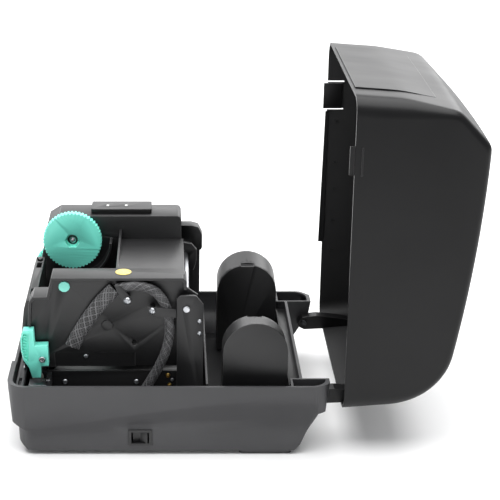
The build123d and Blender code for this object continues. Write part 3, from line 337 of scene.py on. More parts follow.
# ------------------------------------------------------------------ mesh tools
def piece_from(name: str, points: Iterable[Point], faces: Iterable[Sequence[int]]) -> bpy.types.Object:
    """Make a piece from points in millimetres.

    Args:
        name: The piece's name.
        points: Its corners.
        faces: Corner numbers of each face, turning outwards.

    Returns:
        The object, linked to the scene.
    """
    mesh = bpy.data.meshes.new(name)
    mesh.from_pydata([Vector(p) * MM for p in points], [], [list(f) for f in faces])
    mesh.update()
    return shown(name, mesh)


def shown(name: str, data: bpy.types.ID) -> bpy.types.Object:
    """Make an object of a mesh, lamp or camera and link it to the scene."""
    made = bpy.data.objects.new(name, data)
    bpy.context.scene.collection.objects.link(made)
    return made


def bake_modifiers(piece: bpy.types.Object) -> None:
    """Turn a piece's live modifiers into plain mesh."""
    depsgraph = bpy.context.evaluated_depsgraph_get()
    result = bpy.data.meshes.new_from_object(piece.evaluated_get(depsgraph), depsgraph=depsgraph)
    piece.modifiers.clear()
    piece.data = result
    result.name = piece.name


def face_outwards(piece: bpy.types.Object) -> None:
    """Merge a piece's doubled corners and turn all its faces outwards."""
    work = bmesh.new()
    work.from_mesh(piece.data)
    bmesh.ops.remove_doubles(work, verts=work.verts, dist=1e-6)
    bmesh.ops.recalc_face_normals(work, faces=work.faces)
    work.to_mesh(piece.data)
    work.free()


def smooth(piece: bpy.types.Object, angle: float = 32.0) -> None:
    """Shade a piece smooth, with edges sharper than the angle kept crisp."""
    piece.data.shade_smooth()
    piece.data.set_sharp_from_angle(angle=math.radians(angle))


def box_of(mesh: bpy.types.Mesh) -> tuple[Vector, Vector]:
    """Return a mesh's lowest and highest corners."""
    places = [v.co for v in mesh.vertices]
    low = Vector([min(p[i] for p in places) for i in range(3)])
    high = Vector([max(p[i] for p in places) for i in range(3)])
    return low, high


def ease_edges(piece: bpy.types.Object, width: float, segments: int = 2, second: bool = False,
               angle: float = 28.0) -> None:
    """Round a piece's sharp edges as a mould or a tumbling drum leaves them.

    Args:
        piece: The piece, with merged corners.
        width: Width of the rounding, in mm.
        segments: Faces across the rounding.
        second: Whether the rounding takes the piece's second material, a painted edge highlight.
        angle: Edges sharper than this, in degrees, are rounded.
    """
    low, high = box_of(piece.data)
    plain = piece.data.copy()
    for share in (1.0, 0.5, 0.25):
        bevel = piece.modifiers.new("edges", "BEVEL")
        bevel.width = width * share * MM
        bevel.segments = segments
        bevel.limit_method = "ANGLE"
        bevel.angle_limit = math.radians(angle)
        bevel.use_clamp_overlap = False
        bevel.harden_normals = True
        bevel.miter_outer = "MITER_ARC"
        bevel.material = 1 if second else -1
        bake_modifiers(piece)
        new_low, new_high = box_of(piece.data)
        spread = max((low - new_low)[:] + (new_high - high)[:])
        if spread < 0.02 * MM:
            return
        piece.data = plain.copy()
    LOG.info("%s keeps its sharp edges", piece.name)
    smooth(piece)


def merged_copy(node: str, name: str) -> bpy.types.Object:
    """Copy a CAD node as a piece with merged corners and whole flat faces.

    Args:
        node: The CAD node.
        name: The new piece's name.

    Returns:
        The piece, at the origin.
    """
    work = bmesh.new()
    work.from_mesh(FRAME["nodes"][node].data)
    bmesh.ops.remove_doubles(work, verts=work.verts, dist=2e-6)
    bmesh.ops.dissolve_limit(work, angle_limit=math.radians(0.5), verts=work.verts, edges=work.edges)
    mesh = bpy.data.meshes.new(name)
    work.to_mesh(mesh)
    work.free()
    for polygon in mesh.polygons:
        polygon.use_smooth = True
    return shown(name, mesh)


def dress(piece: bpy.types.Object, *finishes: Finish) -> None:
    """Give a piece its finishes, in the order of its material slots."""
    piece.data.materials.clear()
    for finish in finishes:
        piece.data.materials.append(finish.material())


def settle(piece: bpy.types.Object, body: str, slot: str, *nodes: str) -> bpy.types.Object:
    """Fix a finished piece to its body.

    Args:
        piece: The finished piece.
        body: The CAD body that it moves with.
        slot: The record's material slot; not used.
        nodes: CAD nodes that it stands for.

    Returns:
        The same piece.
    """
    if nodes:
        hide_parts(*nodes)
    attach(piece, body)
    LOG.info("%s: %d faces on %s", piece.name, len(piece.data.polygons), body)
    return piece


def prism(name: str, outline: Sequence[Flat], low: float, high: float,
          place: Callable[[float, float, float], Point]) -> bpy.types.Object:
    """Extrude an outline.

    Args:
        name: The piece's name.
        outline: Corners of the outline.
        low: Where the extrusion starts.
        high: Where it ends.
        place: Turns (outline x, outline y, depth) into a point of the frame.

    Returns:
        The closed piece.
    """
    count = len(outline)
    points = [place(a, b, low) for a, b in outline] + [place(a, b, high) for a, b in outline]
    sides = [(i, (i + 1) % count, (i + 1) % count + count, i + count) for i in range(count)]
    piece = piece_from(name, points,
                       [tuple(range(count)), tuple(range(2 * count - 1, count - 1, -1)), *sides])
    face_outwards(piece)
    return piece


def cut(piece: bpy.types.Object, cutter: bpy.types.Object) -> None:
    """Cut one closed piece out of another and delete the cutter."""
    change = piece.modifiers.new("cut", "BOOLEAN")
    change.operation = "DIFFERENCE"
    change.solver = "EXACT"
    change.object = cutter
    bake_modifiers(piece)
    bpy.data.objects.remove(cutter)


def join(name: str, pieces: Sequence[bpy.types.Object]) -> bpy.types.Object:
    """Gather several pieces that share their materials into one."""
    work = bmesh.new()
    for piece in pieces:
        work.from_mesh(piece.data)
    mesh = bpy.data.meshes.new(name)
    work.to_mesh(mesh)
    work.free()
    for piece in pieces:
        bpy.data.objects.remove(piece)
    return shown(name, mesh)


# ------------------------------------------------------------------ geometry node tools
class Pattern:
    """A Geometry Nodes tree with named sizes, which turns a few points into a repeated part."""

    def __init__(self, name: str, sizes: dict[str, float]) -> None:
        """Start the tree.

        Args:
            name: The tree's name.
            sizes: Its inputs and their usual values, in metres or as plain numbers.
        """
        self.tree = bpy.data.node_groups.new(name, "GeometryNodeTree")
        self.tree.interface.new_socket("Points", in_out="INPUT", socket_type="NodeSocketGeometry")
        for label, value in sizes.items():
            socket = self.tree.interface.new_socket(label, in_out="INPUT", socket_type="NodeSocketFloat")
            socket.default_value = value
        self.tree.interface.new_socket("Part", in_out="OUTPUT", socket_type="NodeSocketGeometry")
        self.given = add_node(self.tree, "NodeGroupInput").outputs

    def repeat(self, shape: bpy.types.NodeSocket, finish: Finish, turn: Point = (0, 0, 0)) -> None:
        """End the tree: put the shape on every point, make it real and give it its material.

        Args:
            shape: The geometry to repeat.
            finish: Its finish.
            turn: How each one is turned, in degrees.
        """
        size = add_node(self.tree, "GeometryNodeInputNamedAttribute",
                        {"data_type": "FLOAT", "Name": "size"})
        spin = add_node(self.tree, "GeometryNodeInputNamedAttribute",
                        {"data_type": "FLOAT_VECTOR", "Name": "spin"})
        angles = add_node(self.tree, "ShaderNodeVectorMath",
                          {"operation": "ADD", 1: [math.radians(a) for a in turn]},
                          {0: spin.outputs[0]})
        placed = add_node(self.tree, "GeometryNodeInstanceOnPoints", links={
            "Points": self.given["Points"], "Instance": shape, "Scale": size.outputs[0],
            "Rotation": angles.outputs[0]})
        real = add_node(self.tree, "GeometryNodeRealizeInstances", links={"Geometry": placed.outputs[0]})
        dressed = add_node(self.tree, "GeometryNodeSetMaterial", {"Material": finish.material()},
                           {"Geometry": real.outputs[0]})
        add_node(self.tree, "NodeGroupOutput", links={"Part": dressed.outputs[0]})

    def grow(self, name: str, places: Sequence[Point], sizes: Sequence[float] | None = None,
             spins: Sequence[Point] | None = None, **values: float) -> bpy.types.Object:
        """Run the tree over points and keep the result as plain mesh.

        Args:
            name: The piece's name.
            places: Where the parts stand, in mm.
            sizes: Scale of each one, or None for all 1.
            spins: Extra turn of each one about X, Y and Z, in degrees, or None.
            values: Inputs that differ from their usual values.

        Returns:
            The piece.
        """
        mesh = bpy.data.meshes.new(name)
        mesh.from_pydata([Vector(p) * MM for p in places], [], [])
        scale = mesh.attributes.new("size", "FLOAT", "POINT")
        scale.data.foreach_set("value", list(sizes or [1.0] * len(places)))
        turn = mesh.attributes.new("spin", "FLOAT_VECTOR", "POINT")
        turn.data.foreach_set("vector",
                              [math.radians(a) for s in (spins or [(0, 0, 0)] * len(places)) for a in s])
        piece = shown(name, mesh)
        change = piece.modifiers.new("pattern", "NODES")
        change.node_group = self.tree
        sockets = self.tree.interface.items_tree
        named = {item.name: item.identifier for item in sockets if item.in_out == "INPUT"}
        for label, value in values.items():
            change[named[label.replace("_", " ").capitalize()]] = value
        bake_modifiers(piece)
        smooth(piece, 35)
        return piece


def screw_pattern(finish: Finish, name: str) -> Pattern:
    """Build the tree for a cross-recessed pan head that looks to +Z before it is turned.

    Args:
        finish: The screws' finish.
        name: The tree's name.

    Returns:
        The pattern, whose head is 2 mm in radius at size 1.
    """
    pattern = Pattern(name, {"Head radius": 2 * MM, "Head height": 1.3 * MM, "Recess": 0.5 * MM})
    tree, given = pattern.tree, pattern.given
    wide = add_node(tree, "GeometryNodeMeshUVSphere", {"Segments": 28, "Rings": 14},
                    {"Radius": given["Head radius"]})
    flat = add_node(tree, "ShaderNodeMath", {"operation": "DIVIDE"},
                    {0: given["Head height"], 1: given["Head radius"]})
    shape = add_node(tree, "ShaderNodeCombineXYZ", {"X": 1.0, "Y": 1.0}, {"Z": flat.outputs[0]})
    dome = add_node(tree, "GeometryNodeTransform",
                    links={"Geometry": wide.outputs[0], "Scale": shape.outputs[0]})
    reach = add_node(tree, "ShaderNodeMath", {"operation": "MULTIPLY", 1: 1.15}, {0: given["Head radius"]})
    arm = add_node(tree, "ShaderNodeCombineXYZ", links={
        "X": reach.outputs[0], "Y": given["Recess"], "Z": given["Head height"]})
    bar = add_node(tree, "GeometryNodeMeshCube", links={"Size": arm.outputs[0]})
    up = add_node(tree, "ShaderNodeCombineXYZ", links={"Z": given["Head height"]})
    raised = add_node(tree, "GeometryNodeTransform",
                      links={"Geometry": bar.outputs[0], "Translation": up.outputs[0]})
    crossed = add_node(tree, "GeometryNodeTransform", {"Rotation": (0, 0, math.pi / 2)},
                       {"Geometry": raised.outputs[0]})
    opened = add_node(tree, "GeometryNodeMeshBoolean", {"operation": "DIFFERENCE", "solver": "EXACT"},
                      {0: dome.outputs[0], 1: raised.outputs[0]})
    tree.links.new(crossed.outputs[0], opened.inputs[1])
    pattern.repeat(opened.outputs[0], finish, (0, 90, 0))
    return pattern


def bar_pattern(finish: Finish, name: str, size: Point) -> Pattern:
    """Build the tree for a repeated rounded bar.

    Args:
        finish: The bars' finish.
        name: The tree's name.
        size: Length of a bar along X, Y and Z, in mm.

    Returns:
        The pattern.
    """
    pattern = Pattern(name, {"Long x": size[0] * MM, "Long y": size[1] * MM, "Long z": size[2] * MM})
    tree, given = pattern.tree, pattern.given
    whole = add_node(tree, "ShaderNodeCombineXYZ", links={
        "X": given["Long x"], "Y": given["Long y"], "Z": given["Long z"]})
    core = add_node(tree, "GeometryNodeMeshCube", {"Vertices X": 3, "Vertices Y": 3, "Vertices Z": 3},
                    {"Size": whole.outputs[0]})
    soft = add_node(tree, "GeometryNodeSubdivisionSurface", {"Level": 2, "Edge Crease": 0.35},
                    {"Mesh": core.outputs[0]})
    pattern.repeat(soft.outputs[0], finish)
    return pattern


# ------------------------------------------------------------------ lid
@dataclass
class Lid:
    """The clamshell lid: a crowned shell drawn closed, then stood open about its hinge."""

    hinge: Flat = (135.7, 49.6)
    half_width: float = 110.0
    wall: float = 2.5
    rim_front: float = 67.8
    rim_rear: float = 68.7
    edge_radius: float = 6.5
    corner_radius: float = 16.0
    crown: float = 2.0
    front: Sequence[Flat] = ((-144.0, 67.8), (-141.0, 110.0), (-133.5, 155.0), (-103.0, 184.0))
    top: Sequence[Flat] = ((-103.0, 184.0), (0.0, 177.5), (95.0, 164.0))
    rear: Sequence[Flat] = ((95.0, 164.0), (127.0, 142.5), (140.5, 110.0))
    button: Flat = (40.0, -72.0)
    lenses: Sequence[float] = (-92.0, -99.0)
    button_hole: float = 6.85
    lens_hole: float = 2.2
    drill_span: Flat = (150.0, 200.0)
    tab: Flat = (-102.0, -77.0)
    slit_width: float = 1.6
    slit_span: Flat = (60.0, 84.0)
    ridge_span: Flat = (73.2, 75.0)
    crowning: Flat = (95.0, 165.0)
    panel_half: float = 76.0
    panel_top: float = 138.0
    panel_proud: float = 1.2
    pin_hole: float = 3.1
    arms: Sequence[Flat] = ((80.0, 91.0), (-81.5, -71.0))
    arm_outline: Sequence[Flat] = ((130, 48), (134, 44.6), (138, 43), (141.4, 45.6), (143.5, 50),
                                   (141.2, 100), (137, 112), (131, 86), (128.5, 62))

    def opened(self, x: float, y: float, z: float) -> Point:
        """Stand a point of the closed lid open by a right angle."""
        return x, self.hinge[0] + z - self.hinge[1], self.hinge[1] - y + self.hinge[0]

    def sideways(self, y: float, z: float, x: float) -> Point:
        """Stand open a point of a side view's outline, at depth x."""
        return self.opened(x, y, z)

    @staticmethod
    def arc(three: Sequence[Flat], steps: int) -> list[Flat]:
        """Return points on the circle through three points, without the first one."""
        (ax, ay), (bx, by), (cx, cy) = three
        d = 2 * (ax * (by - cy) + bx * (cy - ay) + cx * (ay - by))
        ox = ((ax**2 + ay**2) * (by - cy) + (bx**2 + by**2) * (cy - ay) + (cx**2 + cy**2) * (ay - by)) / d
        oy = ((ax**2 + ay**2) * (cx - bx) + (bx**2 + by**2) * (ax - cx) + (cx**2 + cy**2) * (bx - ax)) / d
        radius = math.hypot(ax - ox, ay - oy)
        start, end = math.atan2(ay - oy, ax - ox), math.atan2(cy - oy, cx - ox)
        if end > start:
            end -= 2 * math.pi
        return [(ox + radius * math.cos(start + (end - start) * i / steps),
                 oy + radius * math.sin(start + (end - start) * i / steps)) for i in range(1, steps + 1)]

    @staticmethod
    def evened(row: list[Flat], passes: int) -> list[Flat]:
        """Average each pair of numbers with its neighbours, a few times over, and keep both ends."""
        for _ in range(passes):
            row = [row[0], *[((a[0] + 2 * b[0] + c[0]) / 4, (a[1] + 2 * b[1] + c[1]) / 4)
                             for a, b, c in zip(row, row[1:], row[2:])], row[-1]]
        return row

    def profile(self) -> list[tuple[Flat, Flat]]:
        """Return points up the front, over the top and down the rear, each with its outward direction."""
        line = [self.front[0]]
        for (ay, az), (by, bz) in zip(self.front, self.front[1:]):
            steps = max(2, round(math.hypot(by - ay, bz - az) / 3.5))
            line += [(ay + (by - ay) * i / steps, az + (bz - az) * i / steps) for i in range(1, steps + 1)]
        line += self.arc(self.top, 56) + self.arc(self.rear, 18)
        last, end = line[-1], (144.0, self.rim_rear)
        line += [(last[0] + (end[0] - last[0]) * i / 12, last[1] + (end[1] - last[1]) * i / 12)
                 for i in range(1, 13)]
        line = self.evened(line, 3)
        normals = []
        for i in range(len(line)):
            (ay, az), (by, bz) = line[max(0, i - 1)], line[min(len(line) - 1, i + 1)]
            length = math.hypot(by - ay, bz - az)
            normals.append((-(bz - az) / length, (by - ay) / length))
        normals[0], normals[-1] = (-1.0, 0.0), (1.0, 0.0)
        normals = self.evened(normals, 14)
        return [(p, (n[0] / math.hypot(*n), n[1] / math.hypot(*n))) for p, n in zip(line, normals)]

    def section(self, inset: float, height: float) -> list[Flat]:
        """Return the lid's section across its width as (x, depth below the profile).

        Args:
            inset: 0 for the outside, or the wall for the inside.
            height: Height of the profile there, which sets how round the edge is.

        Returns:
            Points from the right side to the left one.
        """
        share = smoothstep(*self.crowning, height)
        radius = self.corner_radius + (self.edge_radius - self.corner_radius) * share
        crown = self.crown * share
        flat = self.half_width - radius
        at_edge = crown * (flat / self.half_width) ** 2
        right = []
        for step in range(9):
            angle = math.pi / 2 * (1 - step / 8)
            right.append((flat + (radius - inset) * math.sin(angle),
                          at_edge + inset + (radius - inset) * (1 - math.cos(angle))))
        middle = [(flat * (1 - 2 * i / 20), at_edge * (1 - 2 * i / 20) ** 2 + inset) for i in range(1, 20)]
        return right + middle + [(-x, d) for x, d in reversed(right)]

    def shell(self) -> bpy.types.Object:
        """Build the shell, closed between its outside, its inside and its rim."""
        profile = self.profile()
        points: list[Point] = []
        rows: dict[float, list[list[int]]] = {0.0: [], self.wall: []}
        for inset, made in rows.items():
            for (y, z), (ny, nz) in profile:
                row = []
                for x, depth in self.section(inset, z):
                    row.append(len(points))
                    rim = self.rim_front if y < 0 else self.rim_rear
                    points.append(self.opened(x, y - ny * depth, max(rim, z - nz * depth)))
                made.append(row)
        outer, inner = rows[0.0], rows[self.wall]
        faces: list[Sequence[int]] = []
        for sheet in (outer, inner):
            for a, b in zip(sheet, sheet[1:]):
                faces += [(a[i], a[i + 1], b[i + 1], b[i]) for i in range(len(a) - 1)]
        for a, b in ((outer[0], inner[0]), (outer[-1], inner[-1])):
            faces += [(a[i], a[i + 1], b[i + 1], b[i]) for i in range(len(a) - 1)]
        for end in (0, -1):
            faces += [[row[end] for row in outer], [row[end] for row in inner]]
            faces.append((outer[0][end], inner[0][end], inner[-1][end], outer[-1][end]))
        piece = piece_from("lid_skin", points, faces)
        face_outwards(piece)
        return piece

    def rod(self, x: float, y: float, low: float, high: float, radius: float) -> bpy.types.Object:
        """Make a round cutter that is upright when the lid is closed."""
        ring = [(x + radius * math.cos(a * math.pi / 16), y + radius * math.sin(a * math.pi / 16))
                for a in range(32)]
        return prism("cutter", ring, low, high, self.opened)

    def build(self) -> None:
        """Build the lid's pieces and fix them to the lid."""
        skin = self.shell()
        cut(skin, self.rod(*self.button, *self.drill_span, self.button_hole))
        for y in self.lenses:
            cut(skin, self.rod(self.button[0], y, *self.drill_span, self.lens_hole))
        # two slits each side of the far snap tab
        for y in (self.tab[0] - 2.0, self.tab[1] + 0.4):
            outside, inside, end = -self.half_width - 2, -self.half_width + 6, y + self.slit_width
            slit = [(outside, y), (inside, y), (inside, end), (outside, end)]
            cut(skin, prism("cutter", slit, *self.slit_span, self.opened))
        dress(skin, LID, LID_INNER)
        middle = Vector(self.opened(0, 0, 110)) * MM
        for polygon in skin.data.polygons:
            if polygon.normal.dot(middle - polygon.center) > 0:
                polygon.material_index = 1
        smooth(skin, 30)
        settle(skin, "lid", "black_shell", "lid_shell")
        self.arms_and_ridge()
        self.front_panel()
        self.ejector_marks()

    def arms_and_ridge(self) -> None:
        """Build the two hinge arms, the finger ridge on the right side and the lip on the left one."""
        parts = []
        for low, high in self.arms:
            ring = [(self.hinge[0] + self.pin_hole * math.cos(a * math.pi / 14),
                     self.hinge[1] + self.pin_hole * math.sin(a * math.pi / 14)) for a in range(28)]
            arm = prism("arm", self.arm_outline, low, high, self.sideways)
            cut(arm, prism("cutter", ring, low - 1, high + 1, self.sideways))
            parts.append(arm)
        low, high = self.half_width - 0.6, self.half_width + 0.8
        bottom, top = self.ridge_span
        ridge = [(self.tab[0], bottom), (self.tab[1], bottom), (self.tab[1], top), (self.tab[0], top)]
        parts.append(prism("ridge", ridge, low, high, self.sideways))
        # locating lip along the left wall's rim, inside the base when the lid is shut
        lip = [(self.tab[1] + 3, self.rim_front + 2), (62, self.rim_front + 2), (62, 64.3),
               (self.tab[1] + 3, 66.4)]
        parts.append(prism("lip", lip, -self.half_width + 2.7, -self.half_width + 4.4, self.sideways))
        arms = join("lid_arms", parts)
        dress(arms, LID, LID_EDGE_PAINTED_HIGHLIGHT)
        ease_edges(arms, 0.5, 2, True)
        settle(arms, "lid", "black_shell")

    def front_panel(self) -> None:
        """Build the panel on the lid's front, proud at the rim and sinking into the face higher up."""
        half, low, high = self.panel_half, self.rim_front + 2, self.panel_top
        points: list[Point] = []
        steps, across = 30, 24
        line = [p for p, _ in self.profile()[:60]]
        for layer in (1, 0):
            for i in range(steps + 1):
                z = low + (high - low) * i / steps
                below, above = next((a, b) for a, b in zip(line, line[1:]) if b[1] >= z)
                y = below[0] + (above[0] - below[0]) * (z - below[1]) / (above[1] - below[1])
                sunk = 1 - 0.82 * smoothstep(0.35, 1.0, i / steps)
                proud = self.panel_proud * sunk if layer else -0.8
                crown = self.crown * smoothstep(*self.crowning, z)
                for j in range(across + 1):
                    x = half * (1 - 2 * j / across)
                    points.append(self.opened(x, y - proud + crown * (x / self.half_width) ** 2, z))
        count = (steps + 1) * (across + 1)
        index = [[i * (across + 1) + j for j in range(across + 1)] for i in range(steps + 1)]
        faces: list[Sequence[int]] = []
        for shift in (0, count):
            for i in range(steps):
                for j in range(across):
                    faces.append([k + shift for k in (index[i][j], index[i][j + 1], index[i + 1][j + 1],
                                                      index[i + 1][j])])
        rim = index[0] + [row[-1] for row in index[1:-1]] + index[-1][::-1]
        rim += [row[0] for row in index[-2:0:-1]]
        faces += [(a, b, b + count, a + count) for a, b in zip(rim, rim[1:] + rim[:1])]
        panel = piece_from("lid_front_plate", points, faces)
        face_outwards(panel)
        dress(panel, LID, LID_EDGE_PAINTED_HIGHLIGHT)
        ease_edges(panel, 0.45, 2, True, 60)
        settle(panel, "lid", "black_shell", "lid_front_panel")

    def ejector_marks(self) -> None:
        """Build the small ejector marks along the inside of the lid's left wall."""
        pattern = Pattern("ejector_mark", {"Radius": 1.5 * MM, "Height": 0.9 * MM})
        disc = add_node(pattern.tree, "GeometryNodeMeshCylinder", {"Vertices": 20},
                        {"Radius": pattern.given["Radius"], "Depth": pattern.given["Height"]})
        # the marks take the lid's lighter edge copy, so each one carries a painted highlight
        pattern.repeat(disc.outputs[0], LID_EDGE_PAINTED_HIGHLIGHT, (0, 90, 0))
        places = [self.opened(-self.half_width + self.wall + 0.3, y, 78) for y in (-63, -21, 7, 40, 71)]
        settle(pattern.grow("lid_ejector_marks", places), "lid", "black_shell")


# ------------------------------------------------------------------ braided sleeves
@dataclass
class Sleeve:
    """A braided sleeve: two sets of bundles that wind opposite ways round a bundle of wires.

    Attributes:
        name: Name of the braid's piece.
        route: Points that steer the sleeve's middle line, in mm.
        wide: Half its width, in mm.
        thick: Half its thickness, in mm.
        bundles: How many bundles wind each way.
        lay: Length of one turn of a bundle, in mm.
        samples: Steps along the sleeve.
    """

    name: str
    route: Sequence[Point]
    wide: float
    thick: float
    bundles: int = 12
    lay: float = 26.0
    samples: int = 150
    _line: list[tuple[Vector, Vector, Vector]] = field(default_factory=list)

    def line(self) -> list[tuple[Vector, Vector, Vector]]:
        """Return points along the smooth route, each with its side and its face direction."""
        if self._line:
            return self._line
        curve = bpy.data.curves.new(self.name + "_route", "CURVE")
        curve.dimensions = "3D"
        curve.resolution_u = 24
        spline = curve.splines.new("NURBS")
        spline.points.add(len(self.route) - 1)
        for point, place in zip(spline.points, self.route):
            point.co = (*[c * MM for c in place], 1)
        spline.order_u = 3
        spline.use_endpoint_u = True
        holder = bpy.data.objects.new(self.name + "_route", curve)
        mesh = bpy.data.meshes.new_from_object(holder)
        raw = [v.co.copy() / MM for v in mesh.vertices]
        bpy.data.objects.remove(holder)
        lengths = [0.0]
        for a, b in zip(raw, raw[1:]):
            lengths.append(lengths[-1] + (b - a).length)
        points = []
        for i in range(self.samples + 1):
            wanted = lengths[-1] * i / self.samples
            k = next(n for n in range(1, len(lengths)) if lengths[n] >= wanted - 1e-9)
            share = (wanted - lengths[k - 1]) / max(1e-9, lengths[k] - lengths[k - 1])
            points.append(raw[k - 1].lerp(raw[k], min(1.0, share)))
        for i, point in enumerate(points):
            ahead = (points[min(i + 1, self.samples)] - points[max(i - 1, 0)]).normalized()
            face = Vector((1, 0, 0))
            face = (face - ahead * face.dot(ahead)).normalized()
            self._line.append((point, ahead.cross(face), face))
        return self._line

    def length(self) -> float:
        """Return the sleeve's length in mm."""
        line = self.line()
        return sum((b[0] - a[0]).length for a, b in zip(line, line[1:]))

    @staticmethod
    def around(station: tuple[Vector, Vector, Vector], wide: float, thick: float, angle: float) -> Point:
        """Return the point at an angle round one station of the middle line."""
        place, side, face = station
        return tuple(place + side * (wide * math.cos(angle)) + face * (thick * math.sin(angle)))

    def tube(self, name: str, wide: float, thick: float) -> bpy.types.Object:
        """Build the wires' outer form, closed at both ends."""
        count = 20
        points = [self.around(station, wide, thick, 2 * math.pi * k / count)
                  for station in self.line() for k in range(count)]
        faces: list[Sequence[int]] = []
        for i in range(self.samples):
            for k in range(count):
                a, b = i * count + k, i * count + (k + 1) % count
                faces.append((a, b, b + count, a + count))
        faces += [tuple(range(count)), tuple(range(len(points) - 1, len(points) - count - 1, -1))]
        piece = piece_from(name, points, faces)
        face_outwards(piece)
        smooth(piece, 50)
        return piece

    def braid(self) -> bpy.types.Object:
        """Build the bundles as thin strips, each with its own tone and a UV map along its length."""
        line, turns = self.line(), self.length() / self.lay
        points: list[Point] = []
        faces: list[Sequence[int]] = []
        tones: list[float] = []
        coords: list[Flat] = []
        width = math.pi / self.bundles * 0.8
        for way in (1, -1):
            for bundle in range(self.bundles):
                start = len(points)
                tone = 0.5 + 0.5 * math.sin(bundle * 2.4 + way)
                for i, station in enumerate(line):
                    turn = 2 * math.pi * (turns * i / self.samples * way + bundle / self.bundles)
                    weave = 0.18 * way * math.sin(self.bundles * 2 * math.pi * turns * i / self.samples)
                    for k, across in enumerate((-1, 0, 1)):
                        angle = turn + across * width / 2
                        out = weave + (0.2 if across == 0 else 0.0) - 0.4
                        points.append(self.around(station, self.wide + out, self.thick + out, angle))
                        tones.append(tone)
                        coords.append((k * 0.9, i * 0.4))
                for i in range(self.samples):
                    for k in range(2):
                        a = start + i * 3 + k
                        quad = (a, a + 1, a + 4, a + 3)
                        faces.append(quad if way > 0 else quad[::-1])
        piece = piece_from(self.name, points, faces)
        mesh = piece.data
        mesh.attributes.new("tone", "FLOAT", "POINT").data.foreach_set("value", tones)
        layer = mesh.uv_layers.new(name="UVMap")
        for loop in mesh.loops:
            layer.data[loop.index].uv = coords[loop.vertex_index]
        solid = piece.modifiers.new("thickness", "SOLIDIFY")
        solid.thickness = 0.18 * MM
        solid.offset = -1
        bake_modifiers(piece)
        smooth(piece, 60)
        return piece


@dataclass
class Harness:
    """The two sleeves on the outside of the side plate, with the wires inside them."""

    face: float = 58.0
    rear_x: float = 62.7

    def build(self) -> None:
        """Build both sleeves; fix the front one to the print module and leave the rear one loose in the
        scene.
        """
        front = Sleeve("harness_front_braid", [(self.face + lift, y, z) for lift, y, z in (
            (2.4, -88, 84), (2.6, -84, 93), (2.8, -75, 108.5), (3.0, -64, 124.5), (3.2, -55, 135),
            (3.4, -48.6, 141))], 6.8, 2.4, 12, 44)
        wires = front.tube("harness_front_wires", 6.6, 1.8)
        dress(wires, WIRE)
        settle(wires, "print_module", "braid")
        braid = front.braid()
        dress(braid, BRAID)
        settle(braid, "print_module", "braid", "harness_front")
        rear = Sleeve("harness_rear_braid", [(self.rear_x, y, z) for y, z in (
            (-47, 142), (-38, 144.2), (-28, 145.2), (-13, 141), (-4, 129), (0.5, 113), (0.8, 97), (-3, 79),
            (-10.5, 62), (-19.5, 46), (-27.5, 32))], 4.5, 4.5, 12, 30)
        for piece, finish in ((rear.tube("harness_rear_wires", 3.9, 3.9), WIRE), (rear.braid(), BRAID)):
            dress(piece, finish)
            if finish is BRAID:
                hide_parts("harness_rear")
            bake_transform(piece)


# ------------------------------------------------------------------ parts that follow the CAD shapes
class Ease(Enum):
    """How much a part's sharp edges are rounded, in mm."""

    SHEET = 0.15
    SMALL = 0.25
    MOULDED = 0.45


@dataclass(frozen=True)
class Look:
    """What parts of one material share: their record slot, their finishes and their rounding."""

    slot: str
    finish: Finish
    # the edge finish is a lighter copy of the main one for the rounded edges: a painted highlight
    edge: Finish | None = None
    ease: Ease = Ease.SMALL

    def build(self, node: str, body: str) -> None:
        """Build one part from its CAD node.

        Args:
            node: The CAD node, which keeps its shape.
            body: The CAD body that it moves with.
        """
        piece = merged_copy(node, node + "_part")
        dress(piece, self.finish, *([self.edge] if self.edge else []))
        ease_edges(piece, self.ease.value, 2, self.edge is not None)
        settle(piece, body, self.slot, node)


GREY = Look("grey_housing", HOUSING, HOUSING_EDGE_PAINTED_HIGHLIGHT)
BLACK = Look("mechanism_black", MECHANISM, MECHANISM_EDGE_PAINTED_HIGHLIGHT)
BLACK_COVER = Look("mechanism_black", MECHANISM, MECHANISM_EDGE_PAINTED_HIGHLIGHT, Ease.MOULDED)
BLACK_TRIM = Look("motor_black", MECHANISM, MECHANISM_EDGE_PAINTED_HIGHLIGHT)
MINT_PART = Look("mint_plastic", MINT, MINT_EDGE_PAINTED_HIGHLIGHT)
STEEL_PART = Look("steel", STEEL)
STEEL_SHEET = Look("steel", STEEL, None, Ease.SHEET)
SOCKET = Look("socket_metal", STEEL, None, Ease.SHEET)
GEAR = Look("gear_white", ACETAL, None, Ease.SHEET)

